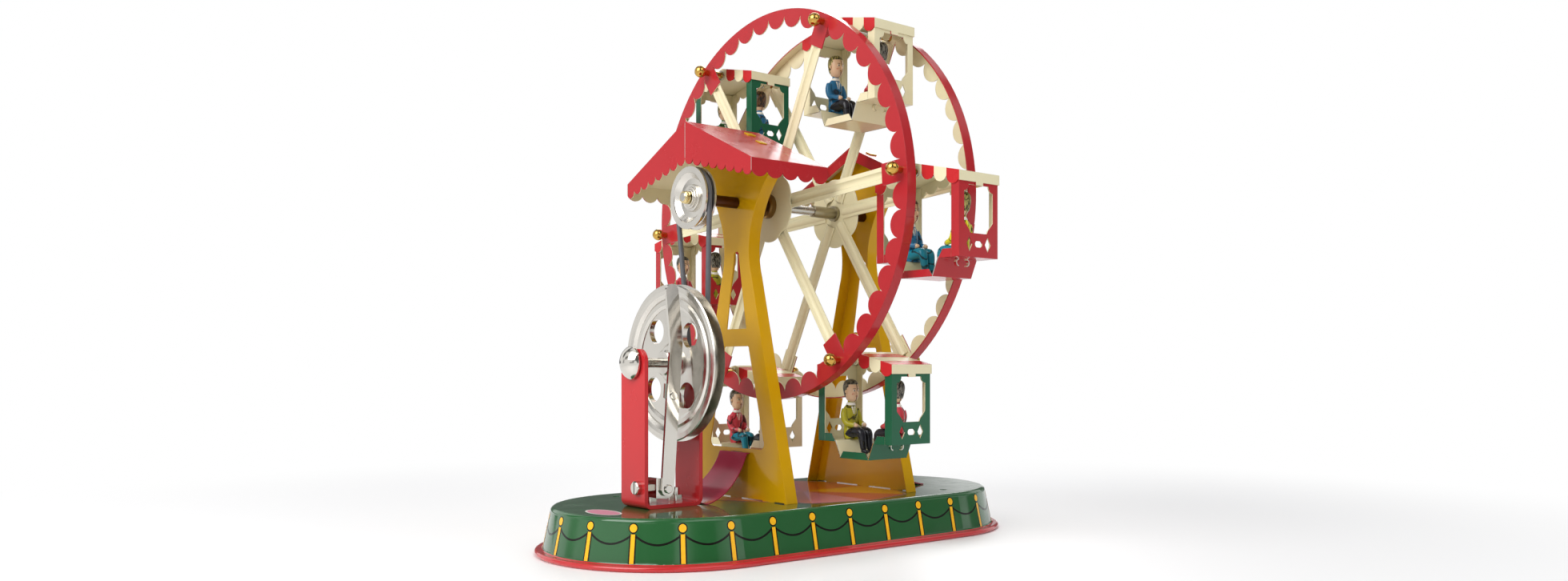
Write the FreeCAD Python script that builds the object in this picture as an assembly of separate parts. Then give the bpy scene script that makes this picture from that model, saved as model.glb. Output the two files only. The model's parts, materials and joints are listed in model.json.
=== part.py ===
import FreeCAD, Part
import math
import os

# Ferris wheel toy in pressed tin, belt driven from a grooved pulley.
# Frame: X along the wheel axle towards the drive end, Y across the base, Z up,
# origin on the resting plane under the middle of the base.  Millimetres.

# ---- driving sizes -------------------------------------------------------
SHEET = 0.6                # tinplate of the folded pieces
BASE_LENGTH = 292.0
BASE_WIDTH = 138.0
BASE_HEIGHT = 24.0
BASE_SHEET = 0.7
SKIRT_FLARE = 4.6          # how far the skirt leans out from top to rim
RIM_FLANGE = 2.4
RIM_CURL = 1.4             # radius of the curled lip
MOUNT_HOLE_X = 82.0        # two screw holes, across a diagonal of the top
MOUNT_HOLE_Y = 45.0
MOUNT_HOLE_DIA = 4.2

WHEEL_OFFSET = -14.0       # middle plane of the wheel along X
RIDE_CLEAR = 5.0           # base top to the tray of a gondola at the bottom
RING_RADIUS = 107.4
ROD_INSET = 4.4            # rim to the circle of cross rods
RING_BAND = 6.0
RING_HALF_SPAN = 25.0      # wheel middle to the outer face of a ring
BAYS = 6
REST_TURN = 4.0            # degrees, first cross rod above the horizontal
SCALLOPS_PER_BAY = 7
SCALLOP_ROOT = 3.8         # rim to the valleys between scallops
SCALLOP_REACH = 10.0       # rim to the tips of the scallops
RING_TAB_WIDTH = 11.0
RING_TAB_REACH = 17.4      # rim to the ends of the spoke tabs

AXLE_DIA = 5.0
ROD_DIA = 2.4
BALL_DIA = 7.0
BALL_HALF_SPAN = 30.6
AXLE_NOSE = 3.7            # axle past the upper pulley
AXLE_TAIL = 3.1            # axle past the end collar
END_COLLAR_LENGTH = 8.0
END_COLLAR_DIA = 12.8
ROD_SPACER_END = 15.6      # wheel middle to the washer beside a gondola
ROD_WASHER = 0.5
ROD_WASHER_RADIUS = 2.9
ROD_SLEEVE_DIA = 3.7
SLEEVE_DIA = 6.2
HUB_DISC_RADIUS = 20.0
HUB_BUSH_DIA = 13.6
HUB_BUSH_LENGTH = 6.2
HUB_STUB_RADIUS = 4.4
SPOKE_WIDTH = 8.0
SPOKE_RIB = 1.3

TOWER_HALF_SPAN = 47.6     # wheel middle to the outer face of a tower sheet
TOWER_FLANGE = 7.4
TOWER_FOOT = 43.0          # half width at the base
TOWER_WAIST = 11.0
WAIST_DROP = 26.0          # waist below the axle
WAIST_STRAIGHT = 15.0      # waist down to the straight legs
TOWER_SHOULDER = 31.0
CROSSBAR_TOP = 91.5
CROSSBAR_BOTTOM = 82.0
FOOT_PLATE_TOP = 27.0
LEG_WIDTH = 11.5
FOOT_TABS = (-28.0, 0.0, 28.0)
TAB_WIDTH = 7.0            # foot tabs folded over under the base top
TAB_SLOT = 0.15            # room around a tab in its slot
ROOF_TABS = (-9.0, 9.0)
ROOF_TAB_WIDTH = 4.0       # tabs folded over on top of the roof
FOLD_GAP = 0.05            # under a folded tab

ROOF_OVER_AXLE = 40.0      # ridge above the axle
ROOF_SLOPE = 25.0
DRIVE_ROOF_HALF = 57.0
DRIVE_ROOF_NEAR = 32.0     # from the wheel middle
DRIVE_ROOF_FAR = 81.4
FAR_ROOF_HALF = 45.0
FAR_ROOF_NEAR = 36.0
FAR_ROOF_FAR = 52.4
VALANCE_DROP = 9.0
GABLE_DROP = 20.0
SCALLOP_BULGE = 3.2

RAMP_TOP = 25.0
RAMP_REACH = 32.0
RAMP_TOP_HALF = 12.0
RAMP_FOOT_HALF = 18.0
RAMP_TAB_HALF = 5.0

UPPER_PULLEY_RADIUS = 16.5
UPPER_PULLEY_WIDTH = 6.6
BELT_DIA = 2.8
BELT_CLEAR = 0.3           # between the belt and the groove floor
UPPER_PITCH = 15.0
LOWER_PITCH = 7.5
BELT_PLANE = 76.2          # from the wheel middle
PULLEY_HUB_DIA = 14.4
PULLEY_HUB_LENGTH = 7.0

DRIVE_Y = 5.0
DRIVE_SHAFT_HEIGHT = 73.0  # above the base top
DRIVE_SHAFT_DIA = 5.0
BRACKET_INNER = 81.4       # from the wheel middle to the inner arm
BRACKET_LENGTH = 35.1
BRACKET_WIDTH = 22.0
BRACKET_STRIP = 2.0
BRACKET_OVER_SHAFT = 7.0
BRACKET_BEND = 4.0
BRACKET_HOLES = (90.8, 106.6)
SCREW_RADIUS = 2.0
BIG_PULLEY_RADIUS = 40.5
BIG_PULLEY_WIDTH = 6.8
BIG_PULLEY_MIDDLE = 91.9
BIG_GROOVE_DEPTH = 7.0
BIG_WEB_SINK = 2.0         # web face below the rim face
BIG_WEB_INSET = 10.9       # rim edge to the edge of the web disc
BIG_WEB_LIP = 1.0          # spun rim lip over the edge of the web disc
BIG_HOLE_CIRCLE = 21.5
BIG_HOLE_RADIUS = 6.6
BIG_HUB_DIA = 13.2
BIG_HUB_FLANGE = 1.3       # boss flange above the web
KNOB_DIA = 16.6
LOWER_PULLEY_RADIUS = 9.2
LOWER_PULLEY_WIDTH = 6.4
LOWER_COLLAR_LENGTH = 6.2
COLLAR_DIA = 13.6

LEVER_WIDTH = 7.4
LEVER_SHEET = 1.5
LEVER_PIVOT = (104.8, 10.0)   # along X from the wheel middle, height over base
LEVER_BEND = (99.6, 84.0)
LEVER_TIP = (102.2, 108.9)
PIVOT_RADIUS = 1.3
SHOE_RIVET_HEIGHT = 56.5
SHOE_RIVET_RADIUS = 1.4
SHOE_SHEET = 0.8
SHOE_GAP = 0.9             # brake off, shoe to pulley web
LUG_SCREW_SIDE = 5.0       # beside the drive shaft
LUG_SCREW_HEIGHT = 10.6
LUG_SCREW_RADIUS = 1.5
LUG_PLATE = 110.6          # from the wheel middle
LUG_SHEET = 1.2
LUG_RADIUS = 5.0

CABIN_LENGTH = 56.0        # gondola, across the wheel
CABIN_WIDTH = 28.0
CABIN_EAVE = -3.0          # below the cross rod
CABIN_FLOOR = -43.4
TRAY_FLOOR = -52.0
CABIN_RIDGE = 3.6
CABIN_FLANGE = 5.0
CABIN_BAND = 4.8
CABIN_SCALLOPS = 7
SCALLOP_DROP = 6.6
RIDER_SEAT = 17.5          # rider's back from the cabin middle

RUNNING = 0.06             # radial clearance of every turning fit
END_PLAY = 0.3             # axial gap between parts that turn on each other
SEATED = 0.02              # gap of a pressed piece in its hole

TOP = BASE_HEIGHT
ROD_CIRCLE = RING_RADIUS - ROD_INSET
AXLE_HEIGHT = ROD_CIRCLE - TRAY_FLOOR + RIDE_CLEAR
AXLE_Z = TOP + AXLE_HEIGHT
SCALLOP_VALLEY = RING_RADIUS - SCALLOP_ROOT
SCALLOP_PEAK = RING_RADIUS - SCALLOP_REACH
RING_TAB_END = RING_RADIUS - RING_TAB_REACH
WAIST_HEIGHT = AXLE_HEIGHT - WAIST_DROP
ROOF_RIDGE = AXLE_HEIGHT + ROOF_OVER_AXLE
BRACKET_TOP = DRIVE_SHAFT_HEIGHT + BRACKET_OVER_SHAFT
WEB_RADIUS = BIG_PULLEY_RADIUS - BIG_WEB_INSET
WEB_HALF = BIG_PULLEY_WIDTH / 2 - BIG_WEB_SINK
DRIVE_Z = TOP + DRIVE_SHAFT_HEIGHT
HALF_STRAIGHT = (BASE_LENGTH - BASE_WIDTH) / 2
ROOF_FALL = math.tan(math.radians(ROOF_SLOPE))
ROOF_RISE = SHEET / math.cos(math.radians(ROOF_SLOPE))
LEVER_Y = DRIVE_Y + BRACKET_WIDTH / 2 + 1.6
X_AXIS = FreeCAD.Vector(1, 0, 0)
Y_AXIS = FreeCAD.Vector(0, 1, 0)
Z_AXIS = FreeCAD.Vector(0, 0, 1)


# ---- helpers ---------------------------------------------------------------
def vec(x, y, z):
    return FreeCAD.Vector(x, y, z)


def on_x(x):
    """Map (y, z) to the plane at this x."""
    return lambda y, z: vec(x, y, z)


def on_y(y):
    """Map (x, z) to the plane at this y."""
    return lambda x, z: vec(x, y, z)


def on_z(z):
    """Map (x, y) to the plane at this z."""
    return lambda x, y: vec(x, y, z)


def outline(path, place):
    """Closed wire from (a, b) corners; a 4-tuple (ta, tb, a, b) arrives by an arc through (ta, tb)."""
    edges = []
    last = path[-1][-2:]
    for step in path:
        end = step[-2:]
        if len(step) == 4:
            edges.append(Part.Arc(place(*last), place(*step[:2]), place(*end)).toShape())
        else:
            edges.append(Part.makeLine(place(*last), place(*end)))
        last = end
    return Part.Wire(edges)


def plate(path, place, thickness):
    """Prism of a closed path, thickness is a vector."""
    return Part.Face(outline(path, place)).extrude(thickness)


def box(x0, x1, y0, y1, z0, z1):
    return Part.makeBox(x1 - x0, y1 - y0, z1 - z0, vec(x0, y0, z0))


def rod_x(x0, x1, y, z, radius):
    return Part.makeCylinder(radius, x1 - x0, vec(x0, y, z), X_AXIS)


def tube_x(x0, x1, y, z, radius, bore):
    return rod_x(x0, x1, y, z, radius).cut(rod_x(x0 - 1, x1 + 1, y, z, bore))


def turned(profile, y=0.0, z=0.0):
    """Body of revolution about an axis along X, profile is (x, radius) corners."""
    wire = outline(profile, lambda x, r: vec(x, y, z + r))
    return Part.Face(wire).revolve(vec(0, y, z), X_AXIS, 360)


def mirrored(path):
    """Right half given from bottom to top, closed with its mirror image; an end at 0 isn't repeated."""
    left = []
    last = len(path) - 2 if path[-1][-2] == 0 else len(path) - 1
    for index in range(last, -1, -1):
        a, b = path[index][-2:]
        follows = path[index + 1] if index + 1 < len(path) else None
        if follows is not None and len(follows) == 4:
            left.append((-follows[0], follows[1], -a, b))
        else:
            left.append((-a, b))
    return path + left


def shifted(path, da, db):
    """The same path moved by (da, db)."""
    return [tuple(v + (db if k % 2 else da) for k, v in enumerate(step)) for step in path]


def from_middle(path, side):
    """Profile whose first values run outwards from the wheel middle, set on either side of it."""
    return [tuple(v if k % 2 else WHEEL_OFFSET + side * v for k, v in enumerate(step)) for step in path]


def keep(shape, node):
    """Write one node."""
    Part.Shape(shape).exportStep("parts/" + node + ".step")


def group(shapes):
    return Part.makeCompound(shapes)


def rod_place(bay):
    """Rest position (y, z) of one cross rod."""
    turn = math.radians(REST_TURN + 360.0 / BAYS * bay)
    return ROD_CIRCLE * math.cos(turn), AXLE_Z + ROD_CIRCLE * math.sin(turn)


def slotted_screw(place, axis_turn, head_radius, head_height, shank_radius, length):
    """Cheese-head screw along +Z from under its head, moved to its place."""
    head = Part.makeCylinder(head_radius, head_height, vec(0, 0, -head_height))
    head = head.makeChamfer(head_height * 0.15, [head.Edges[2]])
    shank = Part.makeCylinder(shank_radius, length)
    slot = box(-head_radius - 1, head_radius + 1, -0.4, 0.4, -head_height - 1, -head_height * 0.5)
    screw = head.fuse(shank).cut(slot)
    screw.Placement = FreeCAD.Placement(place, axis_turn)
    return screw


def hex_nut(centre, axis, across_flats, height, bore):
    radius = across_flats / math.sqrt(3)
    corners = [(radius * math.cos(math.radians(60 * k)), radius * math.sin(math.radians(60 * k)))
               for k in range(6)]
    nut = plate(corners, on_z(0), vec(0, 0, height))
    nut = nut.common(Part.makeCone(radius * 1.02, radius * 0.93, height * 1.6, vec(0, 0, -0.6 * height)))
    nut = nut.cut(Part.makeCylinder(bore, height + 2, vec(0, 0, -1)))
    nut.Placement = FreeCAD.Placement(centre, FreeCAD.Rotation(Z_AXIS, axis))
    return nut


# ---- base --------------------------------------------------------------------
def tower_sheet_x(side):
    """Outer face of a tower sheet; side is +1 at the drive end."""
    return WHEEL_OFFSET + side * TOWER_HALF_SPAN


def base_pan():
    """Stadium-shaped pan: flat top, leaning skirt, flange and curled lip, open underneath."""
    t = BASE_SHEET
    lip = BASE_WIDTH / 2 - RIM_CURL
    foot = lip - RIM_FLANGE
    edge = foot - SKIRT_FLARE
    curl_in = RIM_CURL - t
    section = [
        (0.0, TOP), (edge - 1.8, TOP), (edge - 0.4, TOP - 0.5, edge + 0.4, TOP - 2.2),
        (foot - 0.5, 2 * RIM_CURL + 1.2), (foot, 2 * RIM_CURL + 0.2, foot + 0.9, 2 * RIM_CURL),
        (lip, 2 * RIM_CURL), (lip + RIM_CURL, RIM_CURL, lip, 0.0), (lip - 1.6, 0.0),
        (lip - 1.6, t), (lip, t), (lip + curl_in, RIM_CURL, lip, 2 * RIM_CURL - t),
        (foot + 0.6, 2 * RIM_CURL - t),
        (foot - 0.7, 2 * RIM_CURL - 0.3, foot - t - 0.6, 2 * RIM_CURL + 1.0),
        (edge + 0.4 - t, TOP - 2.4), (edge - 0.9, TOP - 1.0, edge - 2.0, TOP - t), (0.0, TOP - t),
    ]
    pieces = []
    for end in (1, -1):
        centre = end * HALF_STRAIGHT
        face = Part.Face(outline(section, lambda r, z: vec(centre, -end * r, z)))
        pieces.append(face.revolve(vec(centre, 0, 0), Z_AXIS, 180))
        side = Part.Face(outline(section, lambda r, z: vec(-HALF_STRAIGHT, end * r, z)))
        pieces.append(side.extrude(vec(2 * HALF_STRAIGHT, 0, 0)))
    pan = pieces[0].fuse(pieces[1:]).removeSplitter()
    cuts = []
    for side in (1, -1):
        face = tower_sheet_x(side)
        inner = face - side * SHEET
        for y in FOOT_TABS:
            cuts.append(box(min(face, inner) - TAB_SLOT, max(face, inner) + TAB_SLOT,
                            y - TAB_WIDTH / 2 - TAB_SLOT, y + TAB_WIDTH / 2 + TAB_SLOT, TOP - 5, TOP + 5))
        toe = face + side * RAMP_REACH
        cuts.append(box(toe - SHEET / 2 - TAB_SLOT, toe + SHEET / 2 + TAB_SLOT,
                        -RAMP_TAB_HALF - TAB_SLOT, RAMP_TAB_HALF + TAB_SLOT, TOP - 5, TOP + 5))
    for x in BRACKET_HOLES:
        cuts.append(Part.makeCylinder(SCREW_RADIUS + 0.15, 10, vec(WHEEL_OFFSET + x, DRIVE_Y, TOP - 5)))
    for way in (1, -1):
        place = vec(way * MOUNT_HOLE_X, -way * MOUNT_HOLE_Y, TOP - 5)
        cuts.append(Part.makeCylinder(MOUNT_HOLE_DIA / 2, 10, place))
    return pan.cut(Part.makeCompound(cuts))


# ---- towers --------------------------------------------------------------------
def tower_half(inset):
    """Right half of the tower outline from foot to apex, drawn in by inset."""
    under_roof = ROOF_RIDGE - FOLD_GAP - ROOF_RISE
    shoulder = TOWER_SHOULDER - inset
    eave = under_roof - TOWER_SHOULDER * ROOF_FALL
    flare = eave - WAIST_HEIGHT
    spread = TOWER_SHOULDER - TOWER_WAIST
    waist = TOWER_WAIST - inset
    return [
        (TOWER_FOOT - inset, 0.0),
        (waist + 2.4, WAIST_HEIGHT - WAIST_STRAIGHT),
        (waist, WAIST_HEIGHT, waist + 0.21 * spread, WAIST_HEIGHT + 0.374 * flare),
        (waist + 0.52 * spread, WAIST_HEIGHT + 0.6 * flare, shoulder, WAIST_HEIGHT + 0.797 * flare),
        (shoulder, under_roof - shoulder * ROOF_FALL),
        (0.0, under_roof),
    ]


def tower_windows():
    """Closed paths of the tall upper window and of the lower one under the cross bar."""
    leg = (TOWER_FOOT - TOWER_WAIST - 2.4) / (WAIST_HEIGHT - WAIST_STRAIGHT)

    def inside(height):
        return TOWER_FOOT - leg * height - LEG_WIDTH

    tip = WAIST_HEIGHT - 3.5
    upper = [(inside(CROSSBAR_TOP), CROSSBAR_TOP), (2.2, tip), (0.0, tip + 3.1, -2.2, tip),
             (-inside(CROSSBAR_TOP), CROSSBAR_TOP)]
    low, corner = FOOT_PLATE_TOP, 5.0
    wide, narrow = inside(low), inside(CROSSBAR_BOTTOM)
    lower = [(wide - corner, low), (wide - 1.4, low + 1.2, inside(low + corner), low + corner),
             (narrow, CROSSBAR_BOTTOM - 1.5),
             (narrow - 0.4, CROSSBAR_BOTTOM - 0.3, narrow - 1.8, CROSSBAR_BOTTOM)]
    return upper, mirrored(lower)


def tower(side):
    """Folded tower: sheet outside, edge flanges towards the wheel, two windows, foot and roof tabs."""
    outer = tower_sheet_x(side)
    inner = outer - side * SHEET
    x0, x1 = min(inner, outer), max(inner, outer)
    whole = plate(shifted(mirrored(tower_half(0.0)), 0, TOP), on_x(outer), vec(-side * TOWER_FLANGE, 0, 0))
    room = plate(shifted(mirrored(tower_half(SHEET)), 0, TOP), on_x(inner), vec(-side * TOWER_FLANGE, 0, 0))
    body = whole.cut(room)
    for window in tower_windows():
        body = body.cut(plate(shifted(window, 0, TOP), on_x(outer + side), vec(-side * (SHEET + 1.5), 0, 0)))
    body = body.cut(rod_x(outer - 3, outer + 3, 0, AXLE_Z, AXLE_DIA / 2 + RUNNING))
    ramp_slot = box(outer - 2, outer + 2, -RAMP_TAB_HALF - TAB_SLOT, RAMP_TAB_HALF + TAB_SLOT,
                    TOP + RAMP_TOP - SHEET - TAB_SLOT, TOP + RAMP_TOP + TAB_SLOT)
    body = body.cut(ramp_slot)
    under = TOP - BASE_SHEET - FOLD_GAP
    for y in FOOT_TABS:
        y0, y1 = y - TAB_WIDTH / 2, y + TAB_WIDTH / 2
        stem = box(x0, x1, y0, y1, under - SHEET, TOP + 1.0)
        toe = box(min(inner, inner + side * 5), max(inner, inner + side * 5), y0, y1, under - SHEET, under)
        body = body.fuse([stem, toe])
    for y in ROOF_TABS:
        foot = TOP + ROOF_RIDGE - abs(y) * ROOF_FALL - 6
        body = body.fuse(box(x0, x1, y - ROOF_TAB_WIDTH / 2, y + ROOF_TAB_WIDTH / 2, foot, foot + 9))
    body = body.cut(plate(above_roof(), on_x(x0 - 1), vec(x1 - x0 + 2, 0, 0)))
    return body.fuse([roof_tab_fold(side, y) for y in ROOF_TABS]).removeSplitter()


def above_roof():
    """Path of the space over the folded roof tabs."""
    half = DRIVE_ROOF_HALF
    top = TOP + ROOF_RIDGE + ROOF_RISE + FOLD_GAP
    return [(half, top - half * ROOF_FALL), (half, top + 30), (-half, top + 30),
            (-half, top - half * ROOF_FALL), (0.0, top)]


def roof_tab_fold(side, y):
    """Folded end of one roof tab, lying on the roof slope."""
    outer = tower_sheet_x(side)
    reach = outer - side * (SHEET + 4.4)
    x0, x1 = min(outer, reach), max(outer, reach)
    top = TOP + ROOF_RIDGE + FOLD_GAP
    y0, y1 = y - ROOF_TAB_WIDTH / 2, y + ROOF_TAB_WIDTH / 2
    z0, z1 = top - abs(y0) * ROOF_FALL, top - abs(y1) * ROOF_FALL
    corners = [(y0, z0), (y1, z1), (y1, z1 + ROOF_RISE), (y0, z0 + ROOF_RISE)]
    return plate(corners, on_x(x0), vec(x1 - x0, 0, 0))


# ---- roofs -------------------------------------------------------------------------
def scalloped_strip(length, drop, count, bulge):
    """Strip outline from (0, 0) to (length, -drop): straight top, row of rounded scallops below."""
    pitch = length / count
    path = [(length, 0.0), (length, -drop + bulge)]
    for k in range(count, 0, -1):
        path.append(((k - 0.5) * pitch, -drop, (k - 1) * pitch, -drop + bulge))
    path.append((0.0, 0.0))
    return path


def gabled_roof(near, far, half, side, gable_scallops, eave_scallops):
    """Gabled sheet with scalloped valances on both eaves and on the outer gable end."""
    high = TOP + ROOF_RIDGE
    eave = high - half * ROOF_FALL
    x0, x1 = sorted((WHEEL_OFFSET + side * near, WHEEL_OFFSET + side * far))
    profile = [(half, eave), (0.0, high), (-half, eave),
               (-half, eave - ROOF_RISE), (0.0, high - ROOF_RISE), (half, eave - ROOF_RISE)]
    pieces = [plate(profile, on_x(x0), vec(x1 - x0, 0, 0))]
    strip = scalloped_strip(x1 - x0, VALANCE_DROP, eave_scallops, SCALLOP_BULGE)
    for way in (1, -1):
        place = on_y(way * half)
        pieces.append(plate(shifted(strip, x0, eave), place, vec(0, -way * SHEET, 0)))
        pieces.append(gable_half(half, way, gable_scallops, WHEEL_OFFSET + side * far, side))
    roof = pieces[0].fuse(pieces[1:])
    outer = tower_sheet_x(side)
    a, b = sorted((outer, outer - side * SHEET))
    slot = ROOF_TAB_WIDTH / 2 + TAB_SLOT
    for y in ROOF_TABS:
        roof = roof.cut(box(a - FOLD_GAP, b + FOLD_GAP, y - slot, y + slot, high - 30, high + 5))
    return roof.removeSplitter()


def gable_half(half, way, count, x, side):
    """One side of the gable valance: deeper at the ridge, scallops along its sloping lower edge."""
    high = TOP + ROOF_RIDGE
    eave = high - half * ROOF_FALL
    low = eave - VALANCE_DROP + SCALLOP_BULGE
    pitch = half / count
    climb = (high - GABLE_DROP + 1.0 - low) / count
    path = [(0.0, high), (way * half, eave), (way * half, low)]
    for k in range(count):
        start = half - k * pitch
        path.append((way * (start - pitch / 2), low + climb * (k + 0.5) - SCALLOP_BULGE,
                     way * (start - pitch), low + climb * (k + 1)))
    return plate(path, on_x(x), vec(-side * SHEET, 0, 0))


# ---- ramps ----------------------------------------------------------------------------
def ramp(side):
    """Concave strip from a tab in the tower down to the base top, wider at its foot."""
    x_face = tower_sheet_x(side)
    clear = FOLD_GAP
    start = 2.4
    top = TOP + RAMP_TOP
    low = TOP + 0.05
    t = SHEET
    s = side
    path = [
        (x_face + s * clear, top), (x_face + s * start, top),
        (x_face + s * (start + 9.4), top - 14.6, x_face + s * (RAMP_REACH - t / 2), low + t),
        (x_face + s * (RAMP_REACH + t / 2), low + t), (x_face + s * (RAMP_REACH + t / 2), low),
        (x_face + s * (RAMP_REACH - t / 2 - 0.3), low),
        (x_face + s * (start + 8.9), top - 15.0, x_face + s * (start - 0.5), top - t),
        (x_face + s * clear, top - t),
    ]
    blank = plate(path, on_y(-RAMP_FOOT_HALF), vec(0, 2 * RAMP_FOOT_HALF, 0))
    trim = [(x_face - s, RAMP_TOP_HALF), (x_face + s * (start + 1.5), RAMP_TOP_HALF),
            (x_face + s * (RAMP_REACH + 2), RAMP_FOOT_HALF + 0.3)]
    trim += [(a, -b) for a, b in reversed(trim)]
    strip = blank.common(plate(trim, on_z(TOP - 1), vec(0, 0, RAMP_TOP + 5)))
    a, b = sorted((x_face - s * 3.4, x_face + s * (clear + 1)))
    tongue = box(a, b, -RAMP_TAB_HALF, RAMP_TAB_HALF, top - t, top)
    toe_x = x_face + s * RAMP_REACH
    toe = box(toe_x - t / 2, toe_x + t / 2, -RAMP_TAB_HALF, RAMP_TAB_HALF, TOP - BASE_SHEET - 1.6, low + t)
    return strip.fuse([tongue, toe]).removeSplitter()


# ---- drive bracket and its fasteners ------------------------------------------------------
def drive_bracket():
    """Flat strip bent to a U with rounded arm tops."""
    x0 = WHEEL_OFFSET + BRACKET_INNER
    x1 = x0 + BRACKET_LENGTH
    t, r = BRACKET_STRIP, BRACKET_BEND
    q = 1 - math.sqrt(0.5)
    z0, z1 = TOP, TOP + BRACKET_TOP
    ri = r - t
    path = [
        (x0, z1), (x0, z0 + r), (x0 + q * r, z0 + q * r, x0 + r, z0), (x1 - r, z0),
        (x1 - q * r, z0 + q * r, x1, z0 + r), (x1, z1), (x1 - t, z1), (x1 - t, z0 + r),
        (x1 - t - q * ri, z0 + t + q * ri, x1 - r, z0 + t), (x0 + r, z0 + t),
        (x0 + t + q * ri, z0 + t + q * ri, x0 + t, z0 + r), (x0 + t, z1),
    ]
    half = BRACKET_WIDTH / 2
    strip = plate(path, on_y(DRIVE_Y - half), vec(0, BRACKET_WIDTH, 0))
    r = 6.5
    crown = [(half, z0 - 1), (half, z1 - r), (half - q * r, z1 - q * r, half - r, z1),
             (-half + r, z1), (-half + q * r, z1 - q * r, -half, z1 - r), (-half, z0 - 1)]
    strip = strip.common(plate(shifted(crown, DRIVE_Y, 0), on_x(x0 - 1), vec(BRACKET_LENGTH + 2, 0, 0)))
    strip = strip.cut(rod_x(x0 - 1, x1 + 1, DRIVE_Y, DRIVE_Z, DRIVE_SHAFT_DIA / 2 + RUNNING))
    for x in BRACKET_HOLES:
        strip = strip.cut(Part.makeCylinder(SCREW_RADIUS + 0.15, 6, vec(WHEEL_OFFSET + x, DRIVE_Y, z0 - 2)))
    lug_y, lug_z = lug_place()
    return strip.cut(rod_x(x1 - t - 1, x1 + 1, lug_y, lug_z, LUG_SCREW_RADIUS + 0.15))


def lug_place():
    """Place (y, z) of the screw that holds the lever's lug."""
    return DRIVE_Y + LUG_SCREW_SIDE, TOP + LUG_SCREW_HEIGHT


def bracket_screws():
    """Two screws pushed up from under the base top through the bracket floor."""
    turn = FreeCAD.Rotation(X_AXIS, 0)
    under = TOP - BASE_SHEET
    return [slotted_screw(vec(WHEEL_OFFSET + x, DRIVE_Y, under), turn, 3.6, 2.4, SCREW_RADIUS, 9.6)
            for x in BRACKET_HOLES]


def bracket_nuts():
    floor = TOP + BRACKET_STRIP
    return [hex_nut(vec(WHEEL_OFFSET + x, DRIVE_Y, floor), Z_AXIS, 7.0, 3.2, SCREW_RADIUS + SEATED)
            for x in BRACKET_HOLES]


def lever_lug():
    """Angle piece: one round-ended leg on the screw, the other carries the lever rivet."""
    lug_y, lug_z = lug_place()
    x = WHEEL_OFFSET + LUG_PLATE
    outer_y = LEVER_Y - 0.3
    radius = LUG_RADIUS
    leg = [(outer_y, lug_z - radius), (outer_y, lug_z + radius), (lug_y, lug_z + radius),
           (lug_y - radius, lug_z, lug_y, lug_z - radius)]
    first = plate(leg, on_x(x), vec(-LUG_SHEET, 0, 0))
    px, pz = WHEEL_OFFSET + LEVER_PIVOT[0], TOP + LEVER_PIVOT[1]
    arm = [(x, lug_z - radius), (x, lug_z + radius), (px, pz + radius), (px - radius, pz, px, pz - radius)]
    second = plate(arm, on_y(outer_y), vec(0, -LUG_SHEET, 0))
    lug = first.fuse(second)
    lug = lug.cut(rod_x(x - 3, x + 3, lug_y, lug_z, LUG_SCREW_RADIUS + 0.1))
    hole = Part.makeCylinder(PIVOT_RADIUS + SEATED, 6, vec(px, outer_y - 3, pz), Y_AXIS)
    return lug.cut(hole).removeSplitter()


def lug_screw():
    lug_y, lug_z = lug_place()
    x = WHEEL_OFFSET + BRACKET_INNER + BRACKET_LENGTH
    turn = FreeCAD.Rotation(Z_AXIS, vec(-1, 0, 0))
    return slotted_screw(vec(x, lug_y, lug_z), turn, 3.4, 2.6, LUG_SCREW_RADIUS, 9.4)


def lug_nut():
    lug_y, lug_z = lug_place()
    x = WHEEL_OFFSET + LUG_PLATE
    gap = BRACKET_INNER + BRACKET_LENGTH - BRACKET_STRIP - LUG_PLATE
    return hex_nut(vec(x, lug_y, lug_z), X_AXIS, 6.0, gap, LUG_SCREW_RADIUS + SEATED)


def pivot_rivet():
    """Rivet through the lug with a wide head outside the lever."""
    px, pz = WHEEL_OFFSET + LEVER_PIVOT[0], TOP + LEVER_PIVOT[1]
    start = LEVER_Y - 0.3 - LUG_SHEET - 0.9
    end = LEVER_Y + LEVER_SHEET + 0.15
    shank = Part.makeCylinder(PIVOT_RADIUS, end - start, vec(px, start, pz), Y_AXIS)
    inner = Part.makeCylinder(2.2, 0.9, vec(px, start, pz), Y_AXIS)
    head = Part.makeCylinder(2.2, 0.9, vec(px, end, pz), Y_AXIS)
    head = head.makeChamfer(0.35, [head.Edges[0]])
    return shank.fuse([inner, head]).removeSplitter()


# ---- brake lever -------------------------------------------------------------------------------
def lever_point(pair):
    return vec(WHEEL_OFFSET + pair[0], 0, TOP + pair[1])


def strip_along(points, width, y, thickness):
    """Flat strip with round ends following straight runs in a plane of constant y."""
    pieces = []
    for start, end in zip(points[:-1], points[1:]):
        run = end.sub(start)
        side = vec(run.z, 0, -run.x).normalize().multiply(width / 2)
        corners = [start.add(side), end.add(side), end.sub(side), start.sub(side)]
        pieces.append(plate([(c.x, c.z) for c in corners], on_y(y), vec(0, thickness, 0)))
    for point in points:
        pieces.append(Part.makeCylinder(width / 2, thickness, vec(point.x, y, point.z), Y_AXIS))
    return pieces[0].fuse(pieces[1:]).removeSplitter()


def shoe_rivet_place():
    """Where the shoe is riveted on the lower run of the lever."""
    low, high = lever_point(LEVER_PIVOT), lever_point(LEVER_BEND)
    share = (TOP + SHOE_RIVET_HEIGHT - low.z) / (high.z - low.z)
    return low.add(high.sub(low).multiply(share))


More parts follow.
